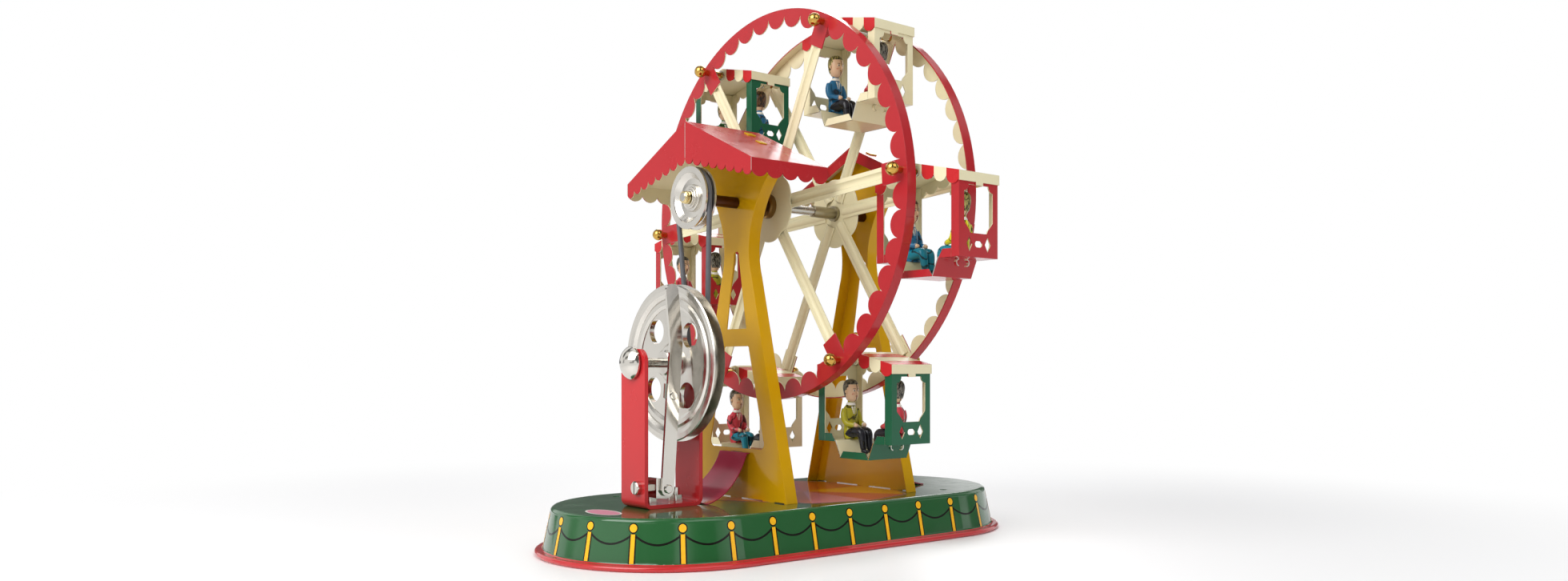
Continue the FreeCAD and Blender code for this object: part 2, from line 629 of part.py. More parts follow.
def brake_lever():
    points = [lever_point(p) for p in (LEVER_PIVOT, LEVER_BEND, LEVER_TIP)]
    lever = strip_along(points, LEVER_WIDTH, LEVER_Y, LEVER_SHEET)
    low = points[0]
    lever = lever.cut(Part.makeCylinder(PIVOT_RADIUS + RUNNING, 6, vec(low.x, LEVER_Y - 2, low.z), Y_AXIS))
    spot = shoe_rivet_place()
    return lever.cut(Part.makeCylinder(SHOE_RIVET_RADIUS, 6, vec(spot.x, LEVER_Y - 2, spot.z), Y_AXIS))


def brake_shoe():
    """Thin bent plate riveted behind the lever, its free end turned towards the pulley web."""
    spot = shoe_rivet_place()
    back = LEVER_Y - SHOE_SHEET
    pad_x = WHEEL_OFFSET + BIG_PULLEY_MIDDLE + WEB_HALF + SHOE_GAP
    high, low = spot.z - 1.4, spot.z - 6.6
    wing = [(spot.x + 4.2, spot.z + 6.2), (spot.x - 3.0, spot.z + 4.6), (pad_x, high),
            (pad_x, low), (spot.x + 1.2, spot.z - 5.4), (spot.x + 4.6, spot.z - 1.0)]
    leaf = plate(wing, on_y(back), vec(0, SHOE_SHEET, 0))
    pad = box(pad_x, pad_x + SHOE_SHEET, back - 5.0, back + SHOE_SHEET, low, high)
    hole = Part.makeCylinder(SHOE_RIVET_RADIUS, 6, vec(spot.x, back - 2, spot.z), Y_AXIS)
    return leaf.fuse(pad).cut(hole).removeSplitter()


def shoe_rivet():
    spot = shoe_rivet_place()
    start = LEVER_Y - SHOE_SHEET - 0.7
    length = LEVER_Y + LEVER_SHEET - start
    shank = Part.makeCylinder(SHOE_RIVET_RADIUS - SEATED, length, vec(spot.x, start, spot.z), Y_AXIS)
    tail = Part.makeCylinder(2.1, 0.7, vec(spot.x, start, spot.z), Y_AXIS)
    head = Part.makeCylinder(2.1, 0.8, vec(spot.x, LEVER_Y + LEVER_SHEET, spot.z), Y_AXIS)
    head = head.makeChamfer(0.3, [head.Edges[0]])
    return shank.fuse([tail, head]).removeSplitter()


# ---- drive shaft group -----------------------------------------------------------------------------
def drive_shaft():
    start = WHEEL_OFFSET + BELT_PLANE - LOWER_PULLEY_WIDTH / 2 - LOWER_COLLAR_LENGTH - 0.6
    end = WHEEL_OFFSET + BRACKET_INNER + BRACKET_LENGTH + 2.2
    r = DRIVE_SHAFT_DIA / 2
    return turned([(start, 0.0), (end, 0.0), (end, r), (start + 0.5, r), (start, r - 0.5)], DRIVE_Y, DRIVE_Z)


def shaft_knob():
    """Domed head pressed on the outer end of the shaft."""
    face = WHEEL_OFFSET + BRACKET_INNER + BRACKET_LENGTH + END_PLAY
    r = KNOB_DIA / 2
    bore = DRIVE_SHAFT_DIA / 2 + SEATED
    end = WHEEL_OFFSET + BRACKET_INNER + BRACKET_LENGTH + 2.2 + SEATED
    rim, apex = face + 1.6, face + 6.0
    ball = (r * r + (apex - rim) ** 2) / (2 * (apex - rim))
    half_turn = math.asin(r / ball) / 2
    crown = (apex - ball + ball * math.cos(half_turn), ball * math.sin(half_turn))
    path = [(face, bore), (face, r - 1.0), (face + 0.6, r), (rim, r), crown + (apex, 0.0),
            (end, 0.0), (end, bore)]
    return turned(path, DRIVE_Y, DRIVE_Z)


def big_pulley():
    """Turned rim with a deep V groove; its raised lips are spun over the edge of the web disc."""
    r = BIG_PULLEY_RADIUS
    w = BIG_PULLEY_WIDTH / 2
    x = WHEEL_OFFSET + BIG_PULLEY_MIDDLE
    floor = r - BIG_GROOVE_DEPTH
    lip = WEB_RADIUS - BIG_WEB_LIP
    slot = WEB_HALF + SEATED
    right = [(0.0, WEB_RADIUS + SEATED), (slot, WEB_RADIUS + SEATED), (slot, lip), (slot + 0.3, lip),
             (w - 1.0, lip + 1.6), (w - 1.0, r - 8.1), (w - 1.6, r - 6.9), (w - 0.3, r - 5.1), (w, r - 3.1),
             (w, r - 0.6), (w - 0.5, r), (1.5, floor), (0.0, floor - 0.8)]
    path = right + [(-a, b) for a, b in reversed(right[1:-1])]
    return turned(shifted(path, x, 0), DRIVE_Y, DRIVE_Z)


def big_pulley_web():
    """Flat disc that carries the rim, with four round holes."""
    x = WHEEL_OFFSET + BIG_PULLEY_MIDDLE
    disc = tube_x(x - WEB_HALF, x + WEB_HALF, DRIVE_Y, DRIVE_Z, WEB_RADIUS, DRIVE_SHAFT_DIA / 2 + SEATED)
    for k in range(4):
        turn = math.radians(40 + 90 * k)
        y, z = BIG_HOLE_CIRCLE * math.cos(turn), BIG_HOLE_CIRCLE * math.sin(turn)
        disc = disc.cut(rod_x(x - 8, x + 8, DRIVE_Y + y, DRIVE_Z + z, BIG_HOLE_RADIUS))
    return disc


def pulley_hubs():
    """Turned bosses with a shallow flange on each face of the web; the inner one takes the set screw."""
    x = WHEEL_OFFSET + BIG_PULLEY_MIDDLE
    r = BIG_HUB_DIA / 2
    bore = DRIVE_SHAFT_DIA / 2 + SEATED
    step = WEB_HALF + BIG_HUB_FLANGE
    bosses = []
    for way, length in ((1, 4.2), (-1, 4.7)):
        end = step + length
        path = [(WEB_HALF, bore), (WEB_HALF, r + 4.0), (step, r + 2.4), (step, r), (end - 0.7, r),
                (end, r - 0.7), (end, bore)]
        bosses.append(turned([(x + way * a, b) for a, b in path], DRIVE_Y, DRIVE_Z))
    seat = Part.makeCylinder(1.7 + SEATED, r + 2, vec(x - step - 2.4, DRIVE_Y, DRIVE_Z - r - 2))
    return [bosses[0], bosses[1].cut(seat)]


def set_screw():
    x = WHEEL_OFFSET + BIG_PULLEY_MIDDLE - WEB_HALF - BIG_HUB_FLANGE - 2.4
    top = DRIVE_Z - DRIVE_SHAFT_DIA / 2 - 0.15
    low = DRIVE_Z - 14.0
    screw = Part.makeCylinder(1.7, top - low, vec(x, DRIVE_Y, low))
    screw = screw.makeChamfer(0.3, [screw.Edges[0], screw.Edges[2]])
    return screw.cut(box(x - 0.35, x + 0.35, DRIVE_Y - 3, DRIVE_Y + 3, low - 1, low + 1.1))


def grooved(x, radius, width, pitch):
    """Half section of a pulley rim with a groove that clears the belt, from left to right."""
    r_belt = BELT_DIA / 2
    clear = r_belt + BELT_CLEAR
    w = width / 2
    return [(x - w, radius), (x - clear - 0.5, radius), (x - clear, pitch),
            (x, pitch - clear, x + clear, pitch), (x + clear + 0.5, radius), (x + w, radius)]


def belt_pulley():
    """Small driving pulley and its collar in one turned piece."""
    x = WHEEL_OFFSET + BELT_PLANE
    w = LOWER_PULLEY_WIDTH / 2
    bore = DRIVE_SHAFT_DIA / 2 + SEATED
    collar = COLLAR_DIA / 2
    left = x - w - LOWER_COLLAR_LENGTH
    path = [(x + w, bore), (left, bore), (left, collar - 0.6), (left + 0.6, collar), (x - w - 0.4, collar)]
    rim = grooved(x, LOWER_PULLEY_RADIUS, LOWER_PULLEY_WIDTH, LOWER_PITCH)
    path += [(x - w, collar + 0.6)] + rim
    piece = turned(path, DRIVE_Y, DRIVE_Z)
    seat = Part.makeCylinder(1.5 + SEATED, collar + 2, vec(left + 3.0, DRIVE_Y, DRIVE_Z))
    return piece.cut(seat)


def grub(x, y, z, inner, outer, radius):
    """Slotted grub screw pointing up from the shaft."""
    screw = Part.makeCylinder(radius, outer - inner, vec(x, y, z + inner))
    return screw.cut(box(x - radius - 1, x + radius + 1, y - 0.3, y + 0.3, z + outer - 0.8, z + outer + 1))


def belt_pulley_grub():
    x = WHEEL_OFFSET + BELT_PLANE - LOWER_PULLEY_WIDTH / 2 - LOWER_COLLAR_LENGTH + 3.0
    return grub(x, DRIVE_Y, DRIVE_Z, DRIVE_SHAFT_DIA / 2 + 0.1, COLLAR_DIA / 2 - 0.7, 1.5)


def belt():
    """Endless round belt around both pulleys, open run."""
    x = WHEEL_OFFSET + BELT_PLANE
    upper = vec(x, 0, AXLE_Z)
    lower = vec(x, DRIVE_Y, DRIVE_Z)
    run = upper.sub(lower)
    lean = math.atan2(run.y, run.z)
    spread = math.pi / 2 - math.asin((UPPER_PITCH - LOWER_PITCH) / run.Length)

    def around(centre, radius, turn):
        return centre.add(vec(0, math.sin(turn) * radius, math.cos(turn) * radius))

    low_left, low_right = (around(lower, LOWER_PITCH, lean + way * spread) for way in (1, -1))
    top_left, top_right = (around(upper, UPPER_PITCH, lean + way * spread) for way in (1, -1))
    path = Part.Wire([
        Part.makeLine(low_left, top_left),
        Part.Arc(top_left, around(upper, UPPER_PITCH, lean), top_right).toShape(),
        Part.makeLine(top_right, low_right),
        Part.Arc(low_right, around(lower, LOWER_PITCH, lean + math.pi), low_left).toShape(),
    ])
    section = Part.Wire(Part.makeCircle(BELT_DIA / 2, low_left, top_left.sub(low_left)))
    return path.makePipeShell([section], True, False)


# ---- wheel --------------------------------------------------------------------------------------------
def axle():
    start = WHEEL_OFFSET - TOWER_HALF_SPAN - END_PLAY - END_COLLAR_LENGTH - AXLE_TAIL
    end = WHEEL_OFFSET + BELT_PLANE + UPPER_PULLEY_WIDTH / 2 + AXLE_NOSE
    r = AXLE_DIA / 2
    path = [(start, 0.0), (end, 0.0), (end, r - 0.5), (end - 0.5, r), (start + 0.5, r), (start, r - 0.5)]
    return turned(path, 0, AXLE_Z)


def spacer_sleeves():
    """Thin tubes that keep wheel, towers and pulley apart on the axle."""
    bore = AXLE_DIA / 2 + SEATED
    r = SLEEVE_DIA / 2
    bush_end = hub_bush_end()
    wall = TOWER_HALF_SPAN - SHEET - END_PLAY
    hub_start = BELT_PLANE - UPPER_PULLEY_WIDTH / 2 - PULLEY_HUB_LENGTH
    spans = [(bush_end, wall), (TOWER_HALF_SPAN + END_PLAY, hub_start), (-wall, -bush_end)]
    return [tube_x(WHEEL_OFFSET + a, WHEEL_OFFSET + b, 0, AXLE_Z, r, bore) for a, b in spans]


def hub_bushes():
    r = HUB_BUSH_DIA / 2
    bore = AXLE_DIA / 2 + SEATED
    pieces = []
    end = hub_bush_end()
    face = RING_HALF_SPAN
    stub = RING_HALF_SPAN - 2.4
    path = [(stub, bore), (stub, HUB_STUB_RADIUS), (face, HUB_STUB_RADIUS), (face, r), (end - 0.8, r),
            (end, r - 0.8), (end, bore)]
    for side in (1, -1):
        pieces.append(turned(from_middle(path, side), 0, AXLE_Z))
    return pieces


def hub_bush_end():
    """Outer face of a hub bush, from the wheel middle."""
    return RING_HALF_SPAN + HUB_BUSH_LENGTH / 2 + 0.6


def hub_disc(side):
    """Sheet disc with a shallow lobe between spokes."""
    x = WHEEL_OFFSET + side * RING_HALF_SPAN
    path = []
    step = 360.0 / BAYS
    dip = HUB_DISC_RADIUS - 1.6
    for k in range(BAYS):
        a = math.radians(REST_TURN + step * k + step / 2)
        b = math.radians(REST_TURN + step * (k + 1))
        path.append((HUB_DISC_RADIUS * math.cos(a), HUB_DISC_RADIUS * math.sin(a) + AXLE_Z,
                     dip * math.cos(b), dip * math.sin(b) + AXLE_Z))
    disc = plate(path, on_x(x), vec(-side * SHEET, 0, 0))
    return disc.cut(rod_x(x - 2, x + 2, 0, AXLE_Z, HUB_STUB_RADIUS + SEATED))


def ring(side):
    """Rim: band around the wheel and a flange with scalloped inner edge and six spoke tabs."""
    face = WHEEL_OFFSET + side * RING_HALF_SPAN
    other = face - side * RING_BAND
    x0, x1 = min(face, other), max(face, other)
    band = tube_x(x0, x1, 0, AXLE_Z, RING_RADIUS, RING_RADIUS - SHEET)
    f0, f1 = min(face, face - side * SHEET), max(face, face - side * SHEET)
    bay = 360.0 / BAYS
    tab_half = math.degrees(RING_TAB_WIDTH / 2 / SCALLOP_VALLEY)
    step = (bay - 2 * tab_half) / SCALLOPS_PER_BAY
    path = []

    def at(radius, degrees):
        turn = math.radians(REST_TURN + degrees)
        return radius * math.cos(turn), AXLE_Z + radius * math.sin(turn)

    for k in range(BAYS):
        base = k * bay
        inner_half = math.degrees(RING_TAB_WIDTH / 2 / RING_TAB_END)
        path.append(at(RING_TAB_END, base - inner_half))
        path.append(at(RING_TAB_END, base + inner_half))
        path.append(at(SCALLOP_VALLEY, base + tab_half))
        for n in range(SCALLOPS_PER_BAY):
            begin = base + tab_half + n * step
            path.append(at(SCALLOP_PEAK, begin + step / 2) + at(SCALLOP_VALLEY, begin + step))
    inner = plate(path, on_x(f0 - 1), vec(f1 - f0 + 2, 0, 0))
    flange = rod_x(f0, f1, 0, AXLE_Z, RING_RADIUS).cut(inner)
    rim = band.fuse(flange)
    for k in range(BAYS):
        y, z = rod_place(k)
        rim = rim.cut(rod_x(f0 - 1, f1 + 1, y, z, ROD_DIA / 2 + SEATED))
    return rim.removeSplitter()


def spoke(side, bay):
    """Channel strip with a rounded rib pressed inwards along its middle."""
    x = WHEEL_OFFSET + side * (RING_HALF_SPAN - SHEET)
    t = SHEET
    h = SPOKE_WIDTH / 2
    deep = t + SPOKE_RIB
    s = -side
    section = [(h, 0.0), (h, t), (2.3, t), (0.0, deep, -2.3, t), (-h, t), (-h, 0.0), (-1.9, 0.0),
               (0.0, deep - t, 1.9, 0.0)]
    start, end = 7.6, ROD_CIRCLE - 2.6
    face = outline(section, lambda a, b: vec(x + s * b, a, start))
    strip = Part.Face(face).extrude(vec(0, 0, end - start))
    turn = FreeCAD.Rotation(X_AXIS, REST_TURN + 360.0 / BAYS * bay - 90)
    strip.Placement = FreeCAD.Placement(vec(0, 0, AXLE_Z), turn)
    y, z = rod_place(bay)
    clear = rod_x(x - 5, x + 5, y, z, ROD_SLEEVE_DIA / 2 + 0.2)
    return strip.cut(clear)


def cross_rods():
    reach = BALL_HALF_SPAN
    pieces = []
    for bay in range(BAYS):
        y, z = rod_place(bay)
        pieces.append(rod_x(WHEEL_OFFSET - reach, WHEEL_OFFSET + reach, y, z, ROD_DIA / 2))
    return pieces


def rod_balls():
    """Brass ball nuts with a short neck against the ring face, blind bored for the rod."""
    pieces = []
    r = BALL_DIA / 2
    neck = ROD_SLEEVE_DIA / 2
    bore = ROD_DIA / 2 + SEATED
    joint = BALL_HALF_SPAN - math.sqrt(r * r - neck * neck)
    end = BALL_HALF_SPAN + SEATED
    for bay in range(BAYS):
        y, z = rod_place(bay)
        for side in (1, -1):
            path = [(RING_HALF_SPAN, bore), (RING_HALF_SPAN, neck), (joint, neck),
                    (BALL_HALF_SPAN, r, BALL_HALF_SPAN + r, 0.0), (end, 0.0), (end, bore)]
            pieces.append(turned(from_middle(path, side), y, z))
    return pieces


def rod_spacers():
    """Brass sleeves on the rods between the ring flange and the washer."""
    pieces = []
    bore = ROD_DIA / 2 + SEATED
    far = RING_HALF_SPAN - SHEET
    near = ROD_SPACER_END + ROD_WASHER
    for bay in range(BAYS):
        y, z = rod_place(bay)
        for side in (1, -1):
            a, b = sorted((WHEEL_OFFSET + side * near, WHEEL_OFFSET + side * far))
            pieces.append(tube_x(a, b, y, z, ROD_SLEEVE_DIA / 2, bore))
    return pieces


def rod_washers():
    pieces = []
    for bay in range(BAYS):
        y, z = rod_place(bay)
        for side in (1, -1):
            inner = WHEEL_OFFSET + side * ROD_SPACER_END
            a, b = sorted((inner, inner + side * ROD_WASHER))
            pieces.append(tube_x(a, b, y, z, ROD_WASHER_RADIUS, ROD_DIA / 2 + SEATED))
    return pieces


def upper_pulley():
    """Dished driven pulley with a long hub towards the tower."""
    x = WHEEL_OFFSET + BELT_PLANE
    w = UPPER_PULLEY_WIDTH / 2
    bore = AXLE_DIA / 2 + SEATED
    hub = PULLEY_HUB_DIA / 2
    left = x - w - PULLEY_HUB_LENGTH
    rim = grooved(x, UPPER_PULLEY_RADIUS, UPPER_PULLEY_WIDTH, UPPER_PITCH)
    path = [(left, bore), (left, hub - 0.6), (left + 0.6, hub), (x - w, hub), (x - w + 1.0, hub + 0.8),
            (x - w + 1.0, 12.4), (x - w, 13.0)]
    path += rim
    path += [(x + w, 13.2), (x + w - 1.5, 12.2), (x + w - 1.8, 6.6), (x + w - 0.2, 5.2), (x + w, 4.6),
             (x + w, bore)]
    piece = turned(path, 0, AXLE_Z)
    seat = Part.makeCylinder(1.6 + SEATED, hub + 2, vec(left + 3.4, 0, AXLE_Z))
    return piece.cut(seat)


def end_collar():
    """Collar that keeps the axle in the far tower."""
    a = WHEEL_OFFSET - TOWER_HALF_SPAN - END_PLAY
    b = a - END_COLLAR_LENGTH
    r = END_COLLAR_DIA / 2
    bore = AXLE_DIA / 2 + SEATED
    piece = turned([(a, bore), (a, r - 0.5), (a - 0.5, r), (b + 0.5, r), (b, r - 0.5), (b, bore)], 0, AXLE_Z)
    return piece.cut(Part.makeCylinder(1.6 + SEATED, r + 2, vec(a - 4.6, 0, AXLE_Z)))


def axle_grub_screws():
    pulley_x = WHEEL_OFFSET + BELT_PLANE - UPPER_PULLEY_WIDTH / 2 - PULLEY_HUB_LENGTH + 3.4
    collar_x = WHEEL_OFFSET - TOWER_HALF_SPAN - END_PLAY - 4.6
    inner = AXLE_DIA / 2 + 0.1
    return [grub(pulley_x, 0, AXLE_Z, inner, PULLEY_HUB_DIA / 2 - 0.8, 1.6),
            grub(collar_x, 0, AXLE_Z, inner, END_COLLAR_DIA / 2 - 0.6, 1.6)]


# ---- gondolas ---------------------------------------------------------------------------------------------
def cabin_panel(way):
    """End panel of a gondola: window with notched corners, two lozenges, an oval, folded side flanges."""
    y = way * CABIN_LENGTH / 2
    h = CABIN_WIDTH / 2
    sheet = box(-h, h, min(y, y - way * SHEET), max(y, y - way * SHEET), CABIN_FLOOR, CABIN_EAVE)
    win_half = 10.3
    win_top = CABIN_EAVE - 5.6
    win_low = win_top - 23.2
    n = 3.2
    q = n * math.sqrt(0.5)
    half = [(win_half - 4.4, win_low), (win_half - 3.6, win_low + 1.6), (win_half, win_low + 5.4),
            (win_half, win_top - n), (win_half - q, win_top - q, win_half - n, win_top)]
    window = plate(mirrored(half), on_y(y + way), vec(0, -way * 3, 0))
    cuts = [window]
    low = win_low - 5.2
    lozenge = [(2.05, low), (0.0, low + 3.6), (-2.05, low), (0.0, low - 3.6)]
    for x in (-6.6, 6.6):
        cuts.append(plate(shifted(lozenge, x, 0), on_y(y + way), vec(0, -way * 3, 0)))
    oval = [(1.2, low - 1.55), (2.6, low, 1.2, low + 1.55), (-1.2, low + 1.55), (-2.6, low, -1.2, low - 1.55)]
    cuts.append(plate(oval, on_y(y + way), vec(0, -way * 3, 0)))
    panel = sheet.cut(Part.makeCompound(cuts))
    inner = y - way * CABIN_FLANGE
    y0, y1 = min(y, inner), max(y, inner)
    sides = [box(x0, x0 + SHEET, y0, y1, CABIN_FLOOR, CABIN_EAVE) for x0 in (-h, h - SHEET)]
    foot = box(-h, h, y0, y1, CABIN_FLOOR, CABIN_FLOOR + SHEET)
    return panel.fuse(sides + [foot]).removeSplitter()


def frustum(top, low):
    """Four-sided block between two level rectangles, each (half x, half y, height)."""
    wires = [outline([(hx, hy), (-hx, hy), (-hx, -hy), (hx, -hy)], on_z(z)) for hx, hy, z in (top, low)]
    return Part.makeLoft(wires, True, True)


def cabin_tray():
    """Shallow folded tray with sloping sides, a V entry in each long side and arm rests."""
    t = SHEET
    hx, hy = CABIN_WIDTH / 2, CABIN_LENGTH / 2 - 1.2
    lx, ly = hx - 4.0, hy - 2.4
    outer = frustum((hx, hy, CABIN_FLOOR), (lx, ly, TRAY_FLOOR))
    inner = frustum((hx - t, hy - t, CABIN_FLOOR), (lx - t, ly - t, TRAY_FLOOR + t))
    tray = outer.cut(inner)
    notch = [(5.2, CABIN_FLOOR + 1), (0.0, TRAY_FLOOR + 1.8), (-5.2, CABIN_FLOOR + 1)]
    tray = tray.cut(plate(notch, on_x(-hx - 1), vec(2 * hx + 2, 0, 0)))
    arms = []
    end = CABIN_LENGTH / 2 - CABIN_FLANGE
    for s in (1, -1):
        for way in (1, -1):
            rest = CABIN_FLOOR + 4.6
            shape = [(way * end, CABIN_FLOOR), (way * end, rest), (way * 14.0, rest),
                     (way * 11.0, CABIN_FLOOR)]
            arms.append(plate(shape, on_x(s * hx), vec(-s * t, 0, 0)))
    return tray.fuse(arms).removeSplitter()


def cabin_seat():
    """Insert with two seats that rest on the tray edge and a foot well that reaches its floor."""
    t = SHEET
    hx = CABIN_WIDTH / 2 - t - 0.05
    end = CABIN_LENGTH / 2 - CABIN_FLANGE
    z = CABIN_FLOOR
    deck = []
    for way in (1, -1):
        y0, y1 = sorted((way * 11.4, way * end))
        deck.append(box(-hx, hx, y0, y1, z, z + t))
    narrow = CABIN_WIDTH / 2 - 4.0 - t - 0.2
    floor = TRAY_FLOOR + t
    well = [(12.0, z + t), (11.4, z + t), (7.6, floor + t), (-7.6, floor + t), (-11.4, z + t), (-12.0, z + t),
            (-12.0, z), (-11.6, z), (-8.0, floor), (8.0, floor), (11.6, z), (12.0, z)]
    strip = plate(well, on_x(-narrow), vec(2 * narrow, 0, 0))
    return deck[0].fuse([deck[1], strip]).removeSplitter()


def cabin():
    return [cabin_panel(1), cabin_panel(-1), cabin_tray(), cabin_seat()]


def cabin_roof():
    """Shallow gabled awning: end bands with a centre tongue, scalloped sides bored for the rod."""
    half = CABIN_LENGTH / 2 + SHEET
    hx = CABIN_WIDTH / 2 + SHEET
    eave = CABIN_EAVE + 0.6
    profile = [(half, eave), (0.0, CABIN_RIDGE + 0.6), (-half, eave), (-half, eave - SHEET),
               (0.0, CABIN_RIDGE), (half, eave - SHEET)]
    pieces = [plate(profile, on_x(-hx), vec(2 * hx, 0, 0))]
    for way in (1, -1):
        y = way * half
        band = [(-hx, eave), (hx, eave), (hx, eave - CABIN_BAND), (2.6, eave - CABIN_BAND),
                (2.6, eave - CABIN_BAND - 1.6), (-2.6, eave - CABIN_BAND - 1.6), (-2.6, eave - CABIN_BAND),
                (-hx, eave - CABIN_BAND)]
        pieces.append(plate(band, on_y(y), vec(0, -way * SHEET, 0)))
    pitch = 2 * half / CABIN_SCALLOPS
    rise = (CABIN_RIDGE + 0.6 - eave) / half

    def valley(y):
        return CABIN_RIDGE + 0.6 - abs(y) * rise - SCALLOP_DROP + 3.0

    for side in (1, -1):
        path = [(half, eave), (0.0, CABIN_RIDGE + 0.6), (-half, eave), (-half, valley(-half))]
        for k in range(CABIN_SCALLOPS):
            middle = -half + (k + 0.5) * pitch
            end = middle + pitch / 2
            path.append((middle, valley(middle) - 3.4, end, valley(end)))
        pieces.append(plate(path, on_x(side * hx), vec(-side * SHEET, 0, 0)))
    roof = pieces[0].fuse(pieces[1:])
    roof = roof.cut(rod_x(-hx - 1, hx + 1, 0, 0, ROD_DIA / 2 + RUNNING))
    return roof.removeSplitter()


def ring_section(y, z, half_x, half_y, sides=8):
    """Octagonal horizontal section of a rider, flattened to half_x by half_y."""
    points = []
    for k in range(sides):
        turn = math.radians(360.0 / sides * (k + 0.5))
        points.append((half_x * math.cos(turn), y + half_y * math.sin(turn)))
    return outline(points, on_z(z))


def stacked(sections):
    return Part.makeLoft([ring_section(*s) for s in sections], True, True)


def limb(start, end, r0, r1):
    """Tapered six-sided limb between two points."""
    run = end.sub(start)
    turn = FreeCAD.Rotation(Z_AXIS, run)
    corners = [vec(math.cos(math.radians(60 * k)), math.sin(math.radians(60 * k)), 0) for k in range(7)]
    wires = []
    for centre, radius in ((start, r0), (end, r1)):
        wires.append(Part.makePolygon([centre.add(turn.multVec(c).multiply(radius)) for c in corners]))
    return Part.makeLoft(wires, True, True)


def rider():
    """Seated figure facing -Y with its back at y = RIDER_SEAT, seated on the insert."""
    seat = CABIN_FLOOR + SHEET
    y = RIDER_SEAT
    torso = stacked([(y - 1.0, seat, 4.6, 4.2), (y - 0.6, seat + 4.0, 5.0, 4.0), (y, seat + 9.0, 4.6, 3.1),
                     (y + 0.4, seat + 14.0, 5.2, 3.1), (y + 0.4, seat + 17.4, 4.6, 2.6),
                     (y + 0.2, seat + 19.2, 2.0, 1.9), (y, seat + 20.6, 1.8, 1.9)])
    head = stacked([(y - 0.2, seat + 20.2, 2.0, 2.2), (y - 0.7, seat + 22.0, 3.1, 3.6),
                    (y - 0.4, seat + 25.0, 3.7, 4.4), (y - 0.2, seat + 28.4, 3.8, 4.6),
                    (y, seat + 31.2, 2.9, 3.6), (y, seat + 32.6, 1.2, 1.6)])
    parts = [torso, head]
    parts.append(limb(vec(0, y - 4.8, seat + 26.0), vec(0, y - 4.2, seat + 23.9), 0.6, 1.1))
    for s in (1, -1):
        knee = vec(s * 2.5, y - 10.8, seat + 4.4)
        parts.append(limb(vec(s * 2.4, y - 0.5, seat + 3.4), knee, 2.9, 2.5))
        parts.append(limb(vec(s * 2.5, y - 10.2, seat + 5.6), vec(s * 2.3, y - 12.6, seat - 6.0), 2.3, 1.6))
        parts.append(limb(vec(s * 2.3, y - 11.6, seat - 6.1), vec(s * 2.3, y - 15.6, seat - 6.5), 1.5, 1.1))
        shoulder = vec(s * 4.7, y + 0.4, seat + 15.6)
        elbow = vec(s * 5.3, y - 1.8, seat + 9.0)
        parts.append(limb(shoulder, elbow, 1.9, 1.7))
        parts.append(limb(vec(s * 5.3, y - 1.2, seat + 9.4), vec(s * 3.2, y - 7.4, seat + 7.8), 1.7, 1.3))
    return parts[0].fuse(parts[1:]).removeSplitter()


def riders():
    one = rider()
    other = one.copy()
    other.rotate(vec(0, 0, 0), Z_AXIS, 180)
    return [one, other]


# ---- write every node ----------------------------------------------------------------------------------------
def moved(shapes, bay):
    y, z = rod_place(bay)
    copies = []
    for shape in shapes:
        copy = shape.copy()
        copy.translate(vec(WHEEL_OFFSET, y, z))
        copies.append(copy)
    return group(copies)


def main():
    os.makedirs("parts", exist_ok=True)
    keep(base_pan(), "base_pan")
    keep(tower(1), "drive_tower")
    keep(tower(-1), "far_tower")
    keep(gabled_roof(DRIVE_ROOF_NEAR, DRIVE_ROOF_FAR, DRIVE_ROOF_HALF, 1, 8, 5), "drive_roof")
    keep(gabled_roof(FAR_ROOF_NEAR, FAR_ROOF_FAR, FAR_ROOF_HALF, -1, 6, 2), "far_roof")
    keep(ramp(1), "drive_ramp")
    keep(ramp(-1), "far_ramp")
    keep(drive_bracket(), "drive_bracket")
    keep(group(bracket_screws()), "bracket_screws")
    keep(group(bracket_nuts()), "bracket_nuts")
    keep(lever_lug(), "lever_lug")
    keep(lug_screw(), "lug_screw")
    keep(lug_nut(), "lug_nut")
    keep(pivot_rivet(), "pivot_rivet")
    keep(belt(), "drive_belt")
    keep(brake_lever(), "brake_lever")
    keep(brake_shoe(), "brake_shoe")
    keep(shoe_rivet(), "shoe_rivet")
    keep(drive_shaft(), "drive_shaft")
    keep(shaft_knob(), "shaft_knob")
    keep(big_pulley(), "big_pulley")
    keep(big_pulley_web(), "big_pulley_web")
    keep(group(pulley_hubs()), "pulley_hubs")
    keep(set_screw(), "set_screw")
    keep(belt_pulley(), "belt_pulley")
    keep(belt_pulley_grub(), "belt_pulley_grub")
    keep(axle(), "axle")
    keep(group(spacer_sleeves()), "spacer_sleeves")
    keep(group(hub_bushes()), "hub_bushes")
    for side, name in ((1, "drive"), (-1, "far")):
        keep(hub_disc(side), "hub_disc_" + name)
        keep(ring(side), "ring_" + name)
        keep(group([spoke(side, bay) for bay in range(BAYS)]), "spokes_" + name)
    keep(group(cross_rods()), "cross_rods")
    keep(group(rod_balls()), "rod_balls")
    keep(group(rod_spacers()), "rod_spacers")
    keep(group(rod_washers()), "rod_washers")
    keep(upper_pulley(), "upper_pulley")
    keep(end_collar(), "end_collar")
    keep(group(axle_grub_screws()), "axle_grub_screws")
    cabin_shapes = cabin()
    roof_shapes = [cabin_roof()]
    rider_shapes = riders()
    for bay in range(BAYS):
        name = "gondola_" + str(bay + 1)
        keep(moved(cabin_shapes, bay), name + "_cabin")
        keep(moved(roof_shapes, bay), name + "_roof")
        keep(moved(rider_shapes, bay), name + "_riders")


main()
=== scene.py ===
"""Looks of a belt driven ferris wheel toy in lithographed tinplate, in metres.

Frame: X along the wheel axle towards the drive end, Y across the base, Z up, origin on the table
under the middle of the base.
"""
import json
import logging
import math
from dataclasses import dataclass, field
from enum import Enum
from typing import Any, Sequence

